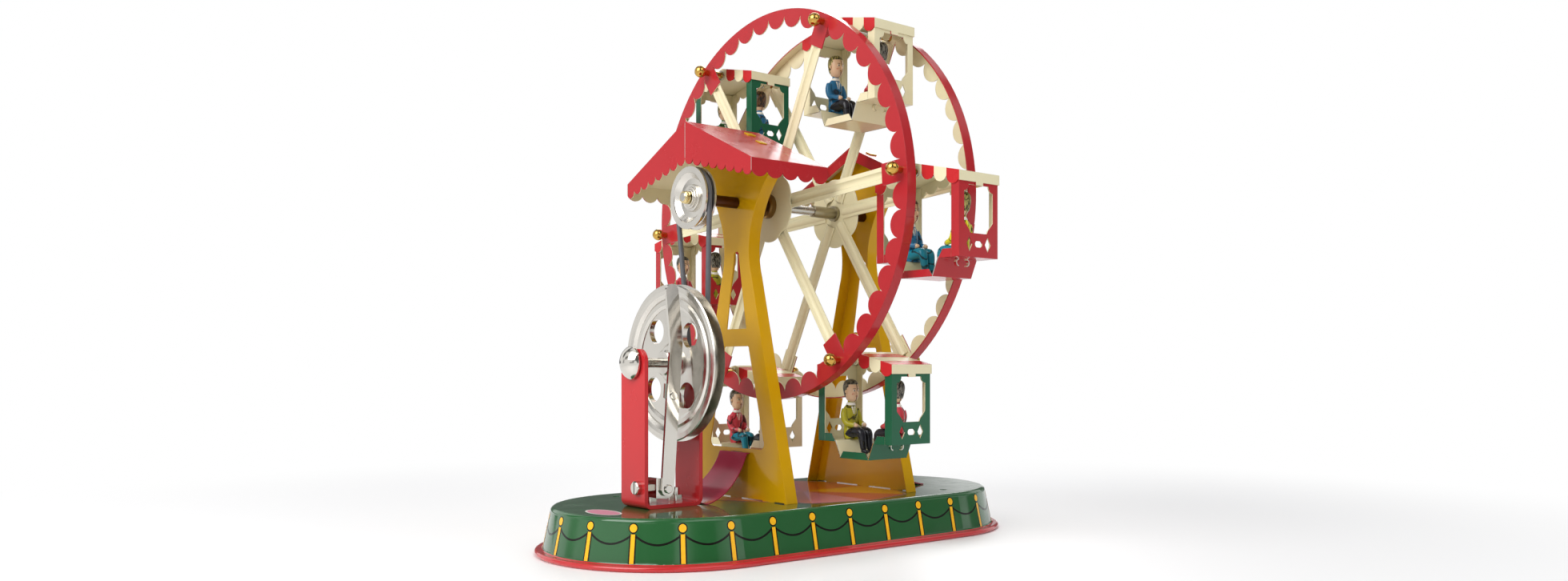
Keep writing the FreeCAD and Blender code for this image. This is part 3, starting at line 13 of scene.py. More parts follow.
import bpy
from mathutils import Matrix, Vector
from mathutils.bvhtree import BVHTree


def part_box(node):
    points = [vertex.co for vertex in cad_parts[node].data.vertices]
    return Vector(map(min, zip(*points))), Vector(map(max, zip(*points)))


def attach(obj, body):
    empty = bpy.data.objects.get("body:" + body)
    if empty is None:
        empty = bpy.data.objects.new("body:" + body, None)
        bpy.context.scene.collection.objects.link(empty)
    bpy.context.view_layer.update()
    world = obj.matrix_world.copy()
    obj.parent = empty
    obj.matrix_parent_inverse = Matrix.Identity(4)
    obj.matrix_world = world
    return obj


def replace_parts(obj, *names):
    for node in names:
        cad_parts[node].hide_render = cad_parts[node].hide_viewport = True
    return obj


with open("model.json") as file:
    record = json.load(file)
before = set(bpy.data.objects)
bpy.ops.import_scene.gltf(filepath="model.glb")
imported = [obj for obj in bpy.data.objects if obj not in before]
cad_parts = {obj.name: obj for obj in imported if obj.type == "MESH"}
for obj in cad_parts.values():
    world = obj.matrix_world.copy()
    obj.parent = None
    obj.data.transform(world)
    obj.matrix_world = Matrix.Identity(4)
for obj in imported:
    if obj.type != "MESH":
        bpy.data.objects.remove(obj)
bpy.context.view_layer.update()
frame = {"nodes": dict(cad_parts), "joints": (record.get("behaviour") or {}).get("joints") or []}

MM = 0.001
FULL_TURN = 2 * math.pi
LOG = logging.getLogger("ferris_wheel")

Point = tuple[float, float, float]
Spot = tuple[float, float]
Rows = tuple[tuple[float, ...], ...]
Colour = tuple[float, float, float, float]
Inputs = dict[int | str, Any]


def linear(code: str) -> Colour:
    """Turn an sRGB hex colour into the linear values that shaders take.

    Args:
        code: colour such as "#2A6B3A".

    Returns:
        Linear red, green and blue, and an alpha of 1.
    """
    parts = [int(code[k:k + 2], 16) / 255 for k in (1, 3, 5)]
    red, green, blue = (p / 12.92 if p <= 0.04045 else ((p + 0.055) / 1.055) ** 2.4 for p in parts)
    return (red, green, blue, 1.0)


class Hue(Enum):
    """Enamels, printing inks and metals of the toy."""

    BASE_GREEN = "#265A30"
    RED = "#BE2A2D"
    DEEP_RED = "#AC282D"
    RASPBERRY = "#A8324A"
    CREAM = "#E2D9B4"
    YELLOW = "#CE9C0C"
    CAR_GREEN = "#1F5A3E"
    POST_GOLD = "#F2B51F"
    TREAD_GOLD = "#CDA036"
    PINK = "#E08BA0"
    ROSE = "#CF4C5C"
    ORANGE = "#D9662B"
    LILAC = "#8F8790"
    BLACK = "#15140F"
    WHITE = "#EDEAE0"
    SKIN = "#DDB896"
    CHEEK = "#CE7F68"
    LIPS = "#A8342E"
    BLOND = "#A99C55"
    GREY_HAIR = "#7C776B"
    BROWN_HAIR = "#6B4A2C"
    JACKET_BLUE = "#2A6C96"
    JACKET_YELLOW = "#D8CF22"
    JACKET_ROSE = "#CB4450"
    JACKET_GREEN = "#3E8048"
    JACKET_LIME = "#A8A02A"
    TEAL = "#1F7F95"
    DARK_CLOTH = "#23242A"
    NICKEL = "#D6D2CA"
    STEEL = "#BDBAB2"
    BROWNED = "#5C4034"
    BRASS = "#CCA252"
    PALE_BRASS = "#D8C490"
    BRONZE = "#8F7346"
    GREYED = "#A49C85"
    TIN = "#D9D7CF"
    RUBBER = "#55565A"
    PAPER = "#F6F5F3"

    @property
    def rgba(self) -> Colour:
        """Linear value of the colour."""
        return linear(self.value)

    @property
    def label(self) -> str:
        """Plain words for names."""
        return self.name.lower().replace("_", " ")


def add(tree: bpy.types.NodeTree, kind: str, inputs: Inputs | None = None, out: int | str = 0,
        **settings: Any) -> bpy.types.NodeSocket | None:
    """Add one shader node with its settings and its links.

    Args:
        tree: node tree that gets the node.
        kind: Blender's name of the node type, without its "ShaderNode".
        inputs: input name or number to a value or to another node's output.
        out: name or number of the output that is wanted.
        settings: the node's own properties.

    Returns:
        The wanted output, or nothing where the node has none.
    """
    made = tree.nodes.new(f"ShaderNode{kind}")
    for name, value in settings.items():
        setattr(made, name, value)
    for name, value in (inputs or {}).items():
        if isinstance(value, bpy.types.NodeSocket):
            tree.links.new(value, made.inputs[name])
        else:
            made.inputs[name].default_value = value
    return made.outputs[out] if len(made.outputs) else None


# ---- finishes ---------------------------------------------------------------------------------
@dataclass(frozen=True)
class Finish:
    """A finish that makes its Blender material when it is first used."""

    name: str

    def material(self) -> bpy.types.Material:
        """Return the material of this finish, made once.

        Returns:
            The Blender material.
        """
        found = bpy.data.materials.get(self.name)
        if found is not None:
            return found
        made = bpy.data.materials.new(self.name)
        made.use_nodes = True
        made.node_tree.nodes.clear()
        add(made.node_tree, "OutputMaterial", {"Surface": self.shade(made.node_tree)})
        return made

    def shade(self, tree: bpy.types.NodeTree) -> bpy.types.NodeSocket:
        """Build the shader in the tree and return its output."""
        raise NotImplementedError


@dataclass(frozen=True)
class Stripes:
    """Bands of a second colour across one axis, each as wide as a scallop."""

    axis: int
    start: float
    pitch: float
    colour: Hue


@dataclass(frozen=True)
class Enamel(Finish):
    """Tinplate printed and stoved with gloss enamel, then pressed.

    It gives the eye an even, deep colour under a clear gloss, a faint orange peel, and reflections
    that bend a little because pressed sheet is never quite flat.
    """

    outside: Hue = Hue.RED
    inside: Hue | None = None
    heart: Point = (0.0, 0.0, 0.0)
    stripes: Stripes | None = None
    end_band: Hue | None = None
    roughness: float = 0.15
    specular: float = 0.22
    coat: float = 0.12
    wave: float = 0.1
    peel: float = 0.1
    fold_radius: float = 0.4 * MM
    wave_depth: float = 0.7 * MM
    peel_depth: float = 0.02 * MM
    end_steepness: float = 0.8
    drift_scale: float = 1 / (30 * MM)
    peel_scale: float = 1 / (1.4 * MM)
    wave_scale: float = 1 / (26 * MM)
    grain_scale: float = 1 / (0.4 * MM)

    def outward(self, tree: bpy.types.NodeTree, place: Any, normal: Any) -> Any:
        """Tell the outside of the sheet from its inside.

        Args:
            tree: node tree of the material.
            place: output with the object coordinates.
            normal: output with the object's normal.

        Returns:
            Output that is 1 where the surface looks away from the heart of the piece.
        """
        span = add(tree, "VectorMath", {0: place, 1: self.heart}, operation="SUBTRACT")
        dot = add(tree, "VectorMath", {0: normal, 1: span}, out="Value", operation="DOT_PRODUCT")
        return add(tree, "Math", {0: dot, 1: 0.0}, operation="GREATER_THAN")

    def paint(self, tree: bpy.types.NodeTree, place: Any, normal: Any) -> Any:
        """Colour each side, stripe and end band.

        Args:
            tree: node tree of the material.
            place: output with the object coordinates.
            normal: output with the object's normal.

        Returns:
            Colour or output with the colour.
        """
        colour = self.outside.rgba
        if self.stripes is not None:
            across = add(tree, "SeparateXYZ", {0: place}, out=self.stripes.axis)
            along = add(tree, "Math", {0: across, 1: self.stripes.start}, operation="SUBTRACT")
            count = add(tree, "Math", {0: along, 1: self.stripes.pitch}, operation="DIVIDE")
            whole = add(tree, "Math", {0: count}, operation="FLOOR")
            odd = add(tree, "Math", {0: whole, 1: 2.0}, operation="FLOORED_MODULO")
            colour = add(tree, "Mix", {0: odd, 6: colour, 7: self.stripes.colour.rgba}, out=2,
                         data_type="RGBA")
        if self.end_band is not None:
            facing = add(tree, "SeparateXYZ", {0: normal}, out="Y")
            steep = add(tree, "Math", {0: facing}, operation="ABSOLUTE")
            ends = add(tree, "Math", {0: steep, 1: self.end_steepness}, operation="GREATER_THAN")
            colour = add(tree, "Mix", {0: ends, 6: colour, 7: self.end_band.rgba}, out=2,
                         data_type="RGBA")
        if self.inside is not None:
            colour = add(tree, "Mix", {0: self.outward(tree, place, normal), 6: self.inside.rgba,
                                       7: colour}, out=2, data_type="RGBA")
        return colour

    def shade(self, tree: bpy.types.NodeTree) -> bpy.types.NodeSocket:
        """Build the enamel.

        Args:
            tree: node tree of the material.

        Returns:
            Output of the surface shader.
        """
        place = add(tree, "TexCoord", out="Object")
        normal = place.node.outputs["Normal"]
        drift = add(tree, "TexNoise", {"Vector": place, "Scale": self.drift_scale, "Detail": 3.0})
        tone = add(tree, "MapRange", {"Value": drift, "To Min": 0.94, "To Max": 1.06})
        grain = add(tree, "TexNoise", {"Vector": place, "Scale": self.grain_scale, "Detail": 2.0})
        speck = add(tree, "MapRange", {"Value": grain, "To Min": 0.97, "To Max": 1.03})
        value = add(tree, "Math", {0: tone, 1: speck}, operation="MULTIPLY")
        colour = add(tree, "HueSaturation", {"Value": value, "Color": self.paint(tree, place, normal)})
        touched = add(tree, "TexNoise", {"Vector": place, "Scale": 3 * self.drift_scale, "Detail": 5.0,
                                         "Roughness": 0.65})
        rough = add(tree, "MapRange", {"Value": touched, "From Min": 0.35, "From Max": 0.7,
                                       "To Min": self.roughness - 0.04, "To Max": self.roughness + 0.1})
        fold = add(tree, "Bevel", {"Radius": self.fold_radius}, samples=6)
        wave = add(tree, "TexNoise", {"Vector": place, "Scale": self.wave_scale, "Detail": 1.0})
        bent = add(tree, "Bump", {"Height": wave, "Distance": self.wave_depth, "Strength": self.wave,
                                  "Normal": fold})
        peel = add(tree, "TexNoise", {"Vector": place, "Scale": self.peel_scale, "Detail": 1.0})
        skin = add(tree, "Bump", {"Height": peel, "Distance": self.peel_depth, "Strength": self.peel,
                                  "Normal": bent})
        return add(tree, "BsdfPrincipled",
                   {"Base Color": colour, "Roughness": rough, "IOR": 1.5, "Normal": skin, "Coat Normal": bent,
                    "Specular IOR Level": self.specular, "Coat Weight": self.coat, "Coat Roughness": 0.04,
                    "Coat IOR": 1.52})


@dataclass(frozen=True)
class PanEnamel(Enamel):
    """The pan's green enamel, with the red line round its rolled rim and cream enamel below."""

    rim_height: float = 3.2 * MM
    underside: float = -0.03

    def paint(self, tree: bpy.types.NodeTree, place: Any, normal: Any) -> Any:
        """Colour the top and skirt green, the rim red and the hidden underside cream.

        Args:
            tree: node tree of the material.
            place: output with the object coordinates.
            normal: output with the object's normal.

        Returns:
            Output with the colour.
        """
        height = add(tree, "SeparateXYZ", {0: place}, out="Z")
        rim = add(tree, "Math", {0: height, 1: self.rim_height}, operation="LESS_THAN")
        colour = add(tree, "Mix", {0: rim, 6: self.outside.rgba, 7: Hue.RED.rgba}, out=2,
                     data_type="RGBA")
        up = add(tree, "SeparateXYZ", {0: normal}, out="Z")
        down = add(tree, "Math", {0: up, 1: self.underside}, operation="LESS_THAN")
        above = add(tree, "Math", {0: height, 1: self.rim_height}, operation="GREATER_THAN")
        under = add(tree, "Math", {0: down, 1: above}, operation="MULTIPLY")
        return add(tree, "Mix", {0: under, 6: colour, 7: Hue.CREAM.rgba}, out=2, data_type="RGBA")


@dataclass(frozen=True)
class Ink(Finish):
    """Offset litho ink under varnish.

    It gives the eye a flat colour with a slight mottle; a stippled ink shows dark dots, and a
    drawn one shows thin dark fold lines. The dots are drawn at about 0.6 mm, coarser than real
    screen dots, so that they show.
    """

    colour: Hue = Hue.BLACK
    stipple: Hue | None = None
    folds: bool = False
    roughness: float = 0.2
    specular: float = 0.25
    coat: float = 0.12
    mottle_scale: float = 1 / (2.4 * MM)
    dot_scale: float = 1 / (0.65 * MM)
    fold_scale: float = 1 / (14 * MM)

    def shade(self, tree: bpy.types.NodeTree) -> bpy.types.NodeSocket:
        """Build the ink.

        Args:
            tree: node tree of the material.

        Returns:
            Output of the surface shader.
        """
        place = add(tree, "TexCoord", out="Object")
        mottle = add(tree, "TexNoise", {"Vector": place, "Scale": self.mottle_scale, "Detail": 4.0})
        value = add(tree, "MapRange", {"Value": mottle, "To Min": 0.9, "To Max": 1.1})
        colour: Any = self.colour.rgba
        if self.stipple is not None:
            dots = add(tree, "TexVoronoi", {"Vector": place, "Scale": self.dot_scale})
            near = add(tree, "MapRange", {"Value": dots, "From Min": 0.22, "From Max": 0.36,
                                          "To Min": 0.6, "To Max": 0.0})
            colour = add(tree, "Mix", {0: near, 6: colour, 7: self.stipple.rgba}, out=2,
                         data_type="RGBA")
        if self.folds:
            bands = add(tree, "TexWave", {"Vector": place, "Scale": self.fold_scale, "Distortion": 9.0,
                                          "Detail": 2.0, "Detail Scale": 1.3}, out="Fac",
                        bands_direction="DIAGONAL")
            line = add(tree, "MapRange", {"Value": bands, "From Min": 0.02, "From Max": 0.16,
                                          "To Min": 0.85, "To Max": 0.0})
            colour = add(tree, "Mix", {0: line, 6: colour, 7: Hue.BLACK.rgba}, out=2,
                         data_type="RGBA")
        printed = add(tree, "HueSaturation", {"Value": value, "Color": colour})
        relief = add(tree, "Bump", {"Height": mottle, "Distance": 0.03 * MM, "Strength": 0.2})
        return add(tree, "BsdfPrincipled",
                   {"Base Color": printed, "Roughness": self.roughness, "IOR": 1.5, "Normal": relief,
                    "Specular IOR Level": self.specular, "Coat Weight": self.coat, "Coat Roughness": 0.05})


@dataclass(frozen=True)
class Hair(Finish):
    """Hair engraved in the pressing tool and printed.

    It gives the eye dark wavy strokes on a lighter ground. The strokes are drawn 0.6 mm apart,
    as coarse as they need to show.
    """

    colour: Hue = Hue.BLOND
    strand_scale: float = 1 / (0.6 * MM)

    def shade(self, tree: bpy.types.NodeTree) -> bpy.types.NodeSocket:
        """Build the hair.

        Args:
            tree: node tree of the material.

        Returns:
            Output of the surface shader.
        """
        place = add(tree, "TexCoord", out="Object")
        pulled = add(tree, "VectorMath", {0: place, 1: (1.0, 1.0, 0.25)}, operation="MULTIPLY")
        strands = add(tree, "TexNoise", {"Vector": pulled, "Scale": self.strand_scale, "Detail": 2.0,
                                         "Distortion": 0.6})
        band = add(tree, "MapRange", {"Value": strands, "From Min": 0.44, "From Max": 0.54})
        colour = add(tree, "Mix", {0: band, 6: Hue.BLACK.rgba, 7: self.colour.rgba}, out=2,
                     data_type="RGBA")
        cut = add(tree, "Bump", {"Height": band, "Distance": 0.1 * MM, "Strength": 0.5})
        return add(tree, "BsdfPrincipled",
                   {"Base Color": colour, "Roughness": 0.28, "IOR": 1.5, "Normal": cut,
                    "Specular IOR Level": 0.3, "Coat Weight": 0.1, "Coat Roughness": 0.08})


@dataclass(frozen=True)
class Metal(Finish):
    """Plated, polished or turned metal.

    It gives the eye a sharp mirror with dull touched patches and hairline scratches of about
    0.4 mm. Where it was turned, fine rings about its axis draw the reflections out into sectors
    instead; the rings are drawn 0.6 mm apart, coarser than a lathe leaves them.
    """

    colour: Hue = Hue.NICKEL
    roughness: float = 0.12
    turned_about: Spot | None = None
    ring_pitch: float = 0.6 * MM
    turned_pull: float = 0.75
    smudge_scale: float = 1 / (7 * MM)
    scratch_scale: float = 1 / (0.4 * MM)

    def shade(self, tree: bpy.types.NodeTree) -> bpy.types.NodeSocket:
        """Build the metal.

        Args:
            tree: node tree of the material.

        Returns:
            Output of the surface shader.
        """
        place = add(tree, "TexCoord", out="Object")
        smudge = add(tree, "TexNoise", {"Vector": place, "Scale": self.smudge_scale, "Detail": 5.0,
                                        "Roughness": 0.6})
        rough = add(tree, "MapRange", {"Value": smudge, "From Min": 0.3, "From Max": 0.7,
                                       "To Min": self.roughness - 0.04, "To Max": self.roughness + 0.1})
        tone = add(tree, "MapRange", {"Value": smudge, "To Min": 0.9, "To Max": 1.05})
        colour = add(tree, "HueSaturation", {"Value": tone, "Color": self.colour.rgba})
        if self.turned_about is None:
            pulled = add(tree, "VectorMath", {0: place, 1: (1.0, 1.0, 0.06)}, operation="MULTIPLY")
            scratch = add(tree, "TexNoise", {"Vector": pulled, "Scale": self.scratch_scale, "Detail": 2.0})
            normal = add(tree, "Bump", {"Height": scratch, "Distance": 0.02 * MM, "Strength": 0.12})
            return add(tree, "BsdfPrincipled",
                       {"Base Color": colour, "Metallic": 1.0, "Roughness": rough, "Normal": normal})
        centre = (0.0, self.turned_about[0], self.turned_about[1])
        arm = add(tree, "VectorMath", {0: place, 1: centre}, operation="SUBTRACT")
        flat = add(tree, "VectorMath", {0: arm, 1: (0.0, 1.0, 1.0)}, operation="MULTIPLY")
        radius = add(tree, "VectorMath", {0: flat}, out="Value", operation="LENGTH")
        phase = add(tree, "Math", {0: radius, 1: FULL_TURN / self.ring_pitch}, operation="MULTIPLY")
        rings = add(tree, "Math", {0: phase}, operation="SINE")
        normal = add(tree, "Bump", {"Height": rings, "Distance": 0.003 * MM, "Strength": 0.1})
        around = add(tree, "Tangent", direction_type="RADIAL", axis="X")
        return add(tree, "BsdfPrincipled",
                   {"Base Color": colour, "Metallic": 1.0, "Roughness": rough, "Normal": normal,
                    "Anisotropic": self.turned_pull, "Tangent": around})


@dataclass(frozen=True)
class Rubber(Finish):
    """Extruded round rubber cord.

    It gives the eye a dark grey with a soft sheen and a dusty bloom in patches of a few mm.
    """

    colour: Hue = Hue.RUBBER
    bloom_scale: float = 1 / (4 * MM)
    grain_scale: float = 1 / (0.45 * MM)

    def shade(self, tree: bpy.types.NodeTree) -> bpy.types.NodeSocket:
        """Build the rubber.

        Args:
            tree: node tree of the material.

        Returns:
            Output of the surface shader.
        """
        place = add(tree, "TexCoord", out="Object")
        bloom = add(tree, "TexNoise", {"Vector": place, "Scale": self.bloom_scale, "Detail": 6.0})
        value = add(tree, "MapRange", {"Value": bloom, "To Min": 0.75, "To Max": 1.25})
        colour = add(tree, "HueSaturation", {"Value": value, "Color": self.colour.rgba})
        grain = add(tree, "TexNoise", {"Vector": place, "Scale": self.grain_scale, "Detail": 3.0})
        bump = add(tree, "Bump", {"Height": grain, "Distance": 0.05 * MM, "Strength": 0.3})
        return add(tree, "BsdfPrincipled",
                   {"Base Color": colour, "Roughness": 0.42, "IOR": 1.5, "Normal": bump})


NICKEL = Metal("bright nickel plate")
STEEL = Metal("drawn steel", Hue.STEEL, 0.2)
BROWNED = Metal("browned steel", Hue.BROWNED, 0.3)
BRASS = Metal("polished brass", Hue.BRASS, 0.11)
PALE_BRASS = Metal("pale turned brass", Hue.PALE_BRASS, 0.16)
BRONZE = Metal("dull bronze", Hue.BRONZE, 0.3)
GREYED = Metal("greyed nickel", Hue.GREYED, 0.3)
CUT_TIN = Metal("cut tin edge", Hue.TIN, 0.22)
BLACK_INK = Ink("black ink")
GOLD_INK = Ink("gold ink", Hue.POST_GOLD)
WHITE_INK = Ink("white ink", Hue.WHITE)


# ---- mesh building ----------------------------------------------------------------------------
def turns(count: int) -> list[float]:
    """Share a full turn into equal angles."""
    return [FULL_TURN * k / count for k in range(count)]


def spread(start: float, end: float, pieces: int) -> list[float]:
    """Cut a length into equal pieces and return every stop, both ends included."""
    return [start + (end - start) * k / pieces for k in range(pieces + 1)]


@dataclass
class Builder:
    """Collects the faces of one piece, in metres, and turns them into an object."""

    name: str
    vertices: list[Vector] = field(default_factory=list)
    faces: list[tuple[int, ...]] = field(default_factory=list)
    slots: list[int] = field(default_factory=list)

    def points(self, places: Sequence[Vector]) -> list[int]:
        """Add vertices.

        Args:
            places: where they lie.

        Returns:
            Their numbers.
        """
        first = len(self.vertices)
        self.vertices.extend(places)
        return list(range(first, first + len(places)))

    def face(self, corners: Sequence[int], slot: int) -> None:
        """Add one face; its corners run anticlockwise as seen from outside."""
        self.faces.append(tuple(corners))
        self.slots.append(slot)

    def skin(self, rings: Sequence[Sequence[Vector]], slot: int, closed: bool = True) -> None:
        """Join rows of equal length with quads; closed rows also get end caps.

        Args:
            rings: rows of places.
            slot: number of the finish.
            closed: whether each row closes on itself.
        """
        rows = [self.points(ring) for ring in rings]
        for low, high in zip(rows[:-1], rows[1:]):
            count = len(low)
            for k in range(count if closed else count - 1):
                n = (k + 1) % count
                self.face((low[k], low[n], high[n], high[k]), slot)
        if closed:
            self.face(tuple(reversed(rows[0])), slot)
            self.face(tuple(rows[-1]), slot)

    def fan(self, centre: Vector, ring: Sequence[Vector], slot: int) -> None:
        """Fill a ring with triangles round its centre.

        Args:
            centre: middle place.
            ring: places round it, anticlockwise as seen from outside.
            slot: number of the finish.
        """
        hub, rim = self.points([centre])[0], self.points(ring)
        for k, corner in enumerate(rim):
            self.face((hub, corner, rim[(k + 1) % len(rim)]), slot)

    def prism(self, outline: Sequence[Vector], depth: Vector, slot: int, edge_slot: int) -> None:
        """Add a piece of sheet cut to an outline.

        Args:
            outline: corners of one face, in order round it.
            depth: way from this face to the other one.
            slot: number of the finish of both faces.
            edge_slot: number of the finish of what runs round between them.
        """
        area = Vector()
        for start, end in zip(outline, [*outline[1:], outline[0]]):
            area += (start - outline[0]).cross(end - outline[0])
        near = list(outline) if area.dot(depth) < 0 else list(reversed(outline))
        front, back = self.points(near), self.points([corner + depth for corner in near])
        self.face(front, slot)
        self.face(tuple(reversed(back)), slot)
        for k in range(len(front)):
            n = (k + 1) % len(front)
            self.face((front[k], back[k], back[n], front[n]), edge_slot)

    def tube(self, path: Sequence[Vector], radii: Sequence[float], slot: int, sides: int = 14) -> None:
        """Add a round limb along a path.

        Args:
            path: middle line.
            radii: radius at each of its points.
            slot: number of the finish.
            sides: places round it.
        """
        rings = []
        across = Vector((1.0, 0.0, 0.0))
        for k, centre in enumerate(path):
            run = (path[min(k + 1, len(path) - 1)] - path[max(k - 1, 0)]).normalized()
            across = (across - run * across.dot(run)).normalized()
            other = run.cross(across)
            rings.append([centre + (across * math.cos(t) + other * math.sin(t)) * radii[k]
                          for t in turns(sides)])
        self.skin(rings, slot)

    def turn(self, profile: Sequence[Spot], axis: Vector, slot: int, sides: int = 72) -> None:
        """Turn a profile about an axis along X; each of its lines keeps its own sharp edges.

        Args:
            profile: places (x, radius), with the metal to the right of the way that it runs.
            axis: a place on the axis.
            slot: number of the finish.
            sides: places round it.
        """
        for line in zip(profile[:-1], profile[1:]):
            self.skin([[Vector((x, axis.y + r * math.cos(t), axis.z + r * math.sin(t)))
                        for t in spread(0.0, FULL_TURN, sides)] for x, r in line], slot, closed=False)

    def surface(self) -> BVHTree:
        """Return a tree of the faces so far, for laying prints on them."""
        return BVHTree.FromPolygons([tuple(v) for v in self.vertices], self.faces)

    def build(self, finishes: Sequence[Finish], body: str, slot: str,
              smooth: bool = True) -> bpy.types.Object:
        """Make the object, dress it and let it ride on its body.

        Args:
            finishes: finish of each number.
            body: CAD body that carries the piece.
            slot: the record's material slot, which is not used.
            smooth: whether its faces are shaded smoothly.

        Returns:
            The new object.
        """
        mesh = bpy.data.meshes.new(self.name)
        mesh.from_pydata([tuple(v) for v in self.vertices], [], self.faces)
        for finish in finishes:
            mesh.materials.append(finish.material())
        mesh.polygons.foreach_set("material_index", self.slots)
        mesh.polygons.foreach_set("use_smooth", [smooth] * len(self.faces))
        mesh.update()
        made = bpy.data.objects.new(self.name, mesh)
        bpy.context.scene.collection.objects.link(made)
        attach(made, body)
        LOG.info("%s rides on %s", self.name, body)
        return made


def smooth_line(points: Sequence[Vector], steps: int) -> list[Vector]:
    """Draw a Catmull-Rom line through points.

    Args:
        points: places to pass through.
        steps: pieces between two neighbours.

    Returns:
        The finer line, ends included.
    """
    padded = [points[0], *points, points[-1]]
    line = []
    for k in range(1, len(padded) - 2):
        before, start, end, after = padded[k - 1:k + 3]
        for n in range(steps):
            t = n / steps
            bend = 2 * before - 5 * start + 4 * end - after
            twist = 3 * start - before - 3 * end + after
            line.append(0.5 * (2 * start + (end - before) * t + bend * t ** 2 + twist * t ** 3))
    line.append(points[-1].copy())
    return line


def dress(finish: Finish, *nodes: str) -> None:
    """Give CAD nodes a finish.

    Args:
        finish: the finish.
        nodes: names of the nodes.
    """
    for node in nodes:
        target = frame["nodes"][node]
        target.data.materials.clear()
        target.data.materials.append(finish.material())
        LOG.info("%s dressed in %s", node, finish.name)


def joint_place(name: str) -> Vector:
    """Return the place of a joint."""
    return next(Vector(j["pos_m"]) for j in frame["joints"] if j["name"] == name)


# ---- base and its print -----------------------------------------------------------------------
@dataclass
class Skirt:
    """The pan's skirt unrolled: s runs round it to the right from the middle of the side at +Y."""

    sheet: BVHTree
    straight: float
    radius: float
    lift: float = 0.05 * MM
    reach: float = 0.2

    @property
    def arc(self) -> float:
        """Length of one round end."""
        return math.pi * self.radius

    @property
    def length(self) -> float:
        """Whole way round."""
        return 4 * self.straight + 2 * self.arc

    def on_far_side(self, x: float) -> float:
        """Return s of a place on the side at -Y."""
        return 2 * self.straight + self.arc + x

    def heading(self, s: float) -> tuple[Vector, Vector]:
        """Find the ray that meets the skirt at s.

        Args:
            s: place along the skirt.

        Returns:
            Point on the pan's middle line and the outward direction.
        """
        s = (s + self.straight) % self.length
        if s < 2 * self.straight:
            return Vector((self.straight - s, 0, 0)), Vector((0, 1, 0))
        s -= 2 * self.straight
        if s < self.arc:
            turn = math.pi / 2 + s / self.radius
            return Vector((-self.straight, 0, 0)), Vector((math.cos(turn), math.sin(turn), 0))
        s -= self.arc
        if s < 2 * self.straight:
            return Vector((s - self.straight, 0, 0)), Vector((0, -1, 0))
        turn = -math.pi / 2 + (s - 2 * self.straight) / self.radius
        return Vector((self.straight, 0, 0)), Vector((math.cos(turn), math.sin(turn), 0))

    def at(self, s: float, z: float, level: int = 1) -> Vector:
        """Find a place on the sheet.

        Args:
            s: place along the skirt.
            z: height.
            level: coats of ink under it.

        Returns:
            The place, lifted by its coats of ink.
        """
        centre, out = self.heading(s)
        hit, normal, _, _ = self.sheet.ray_cast(centre + out * self.reach + Vector((0, 0, z)), -out)
        return hit + normal * self.lift * level


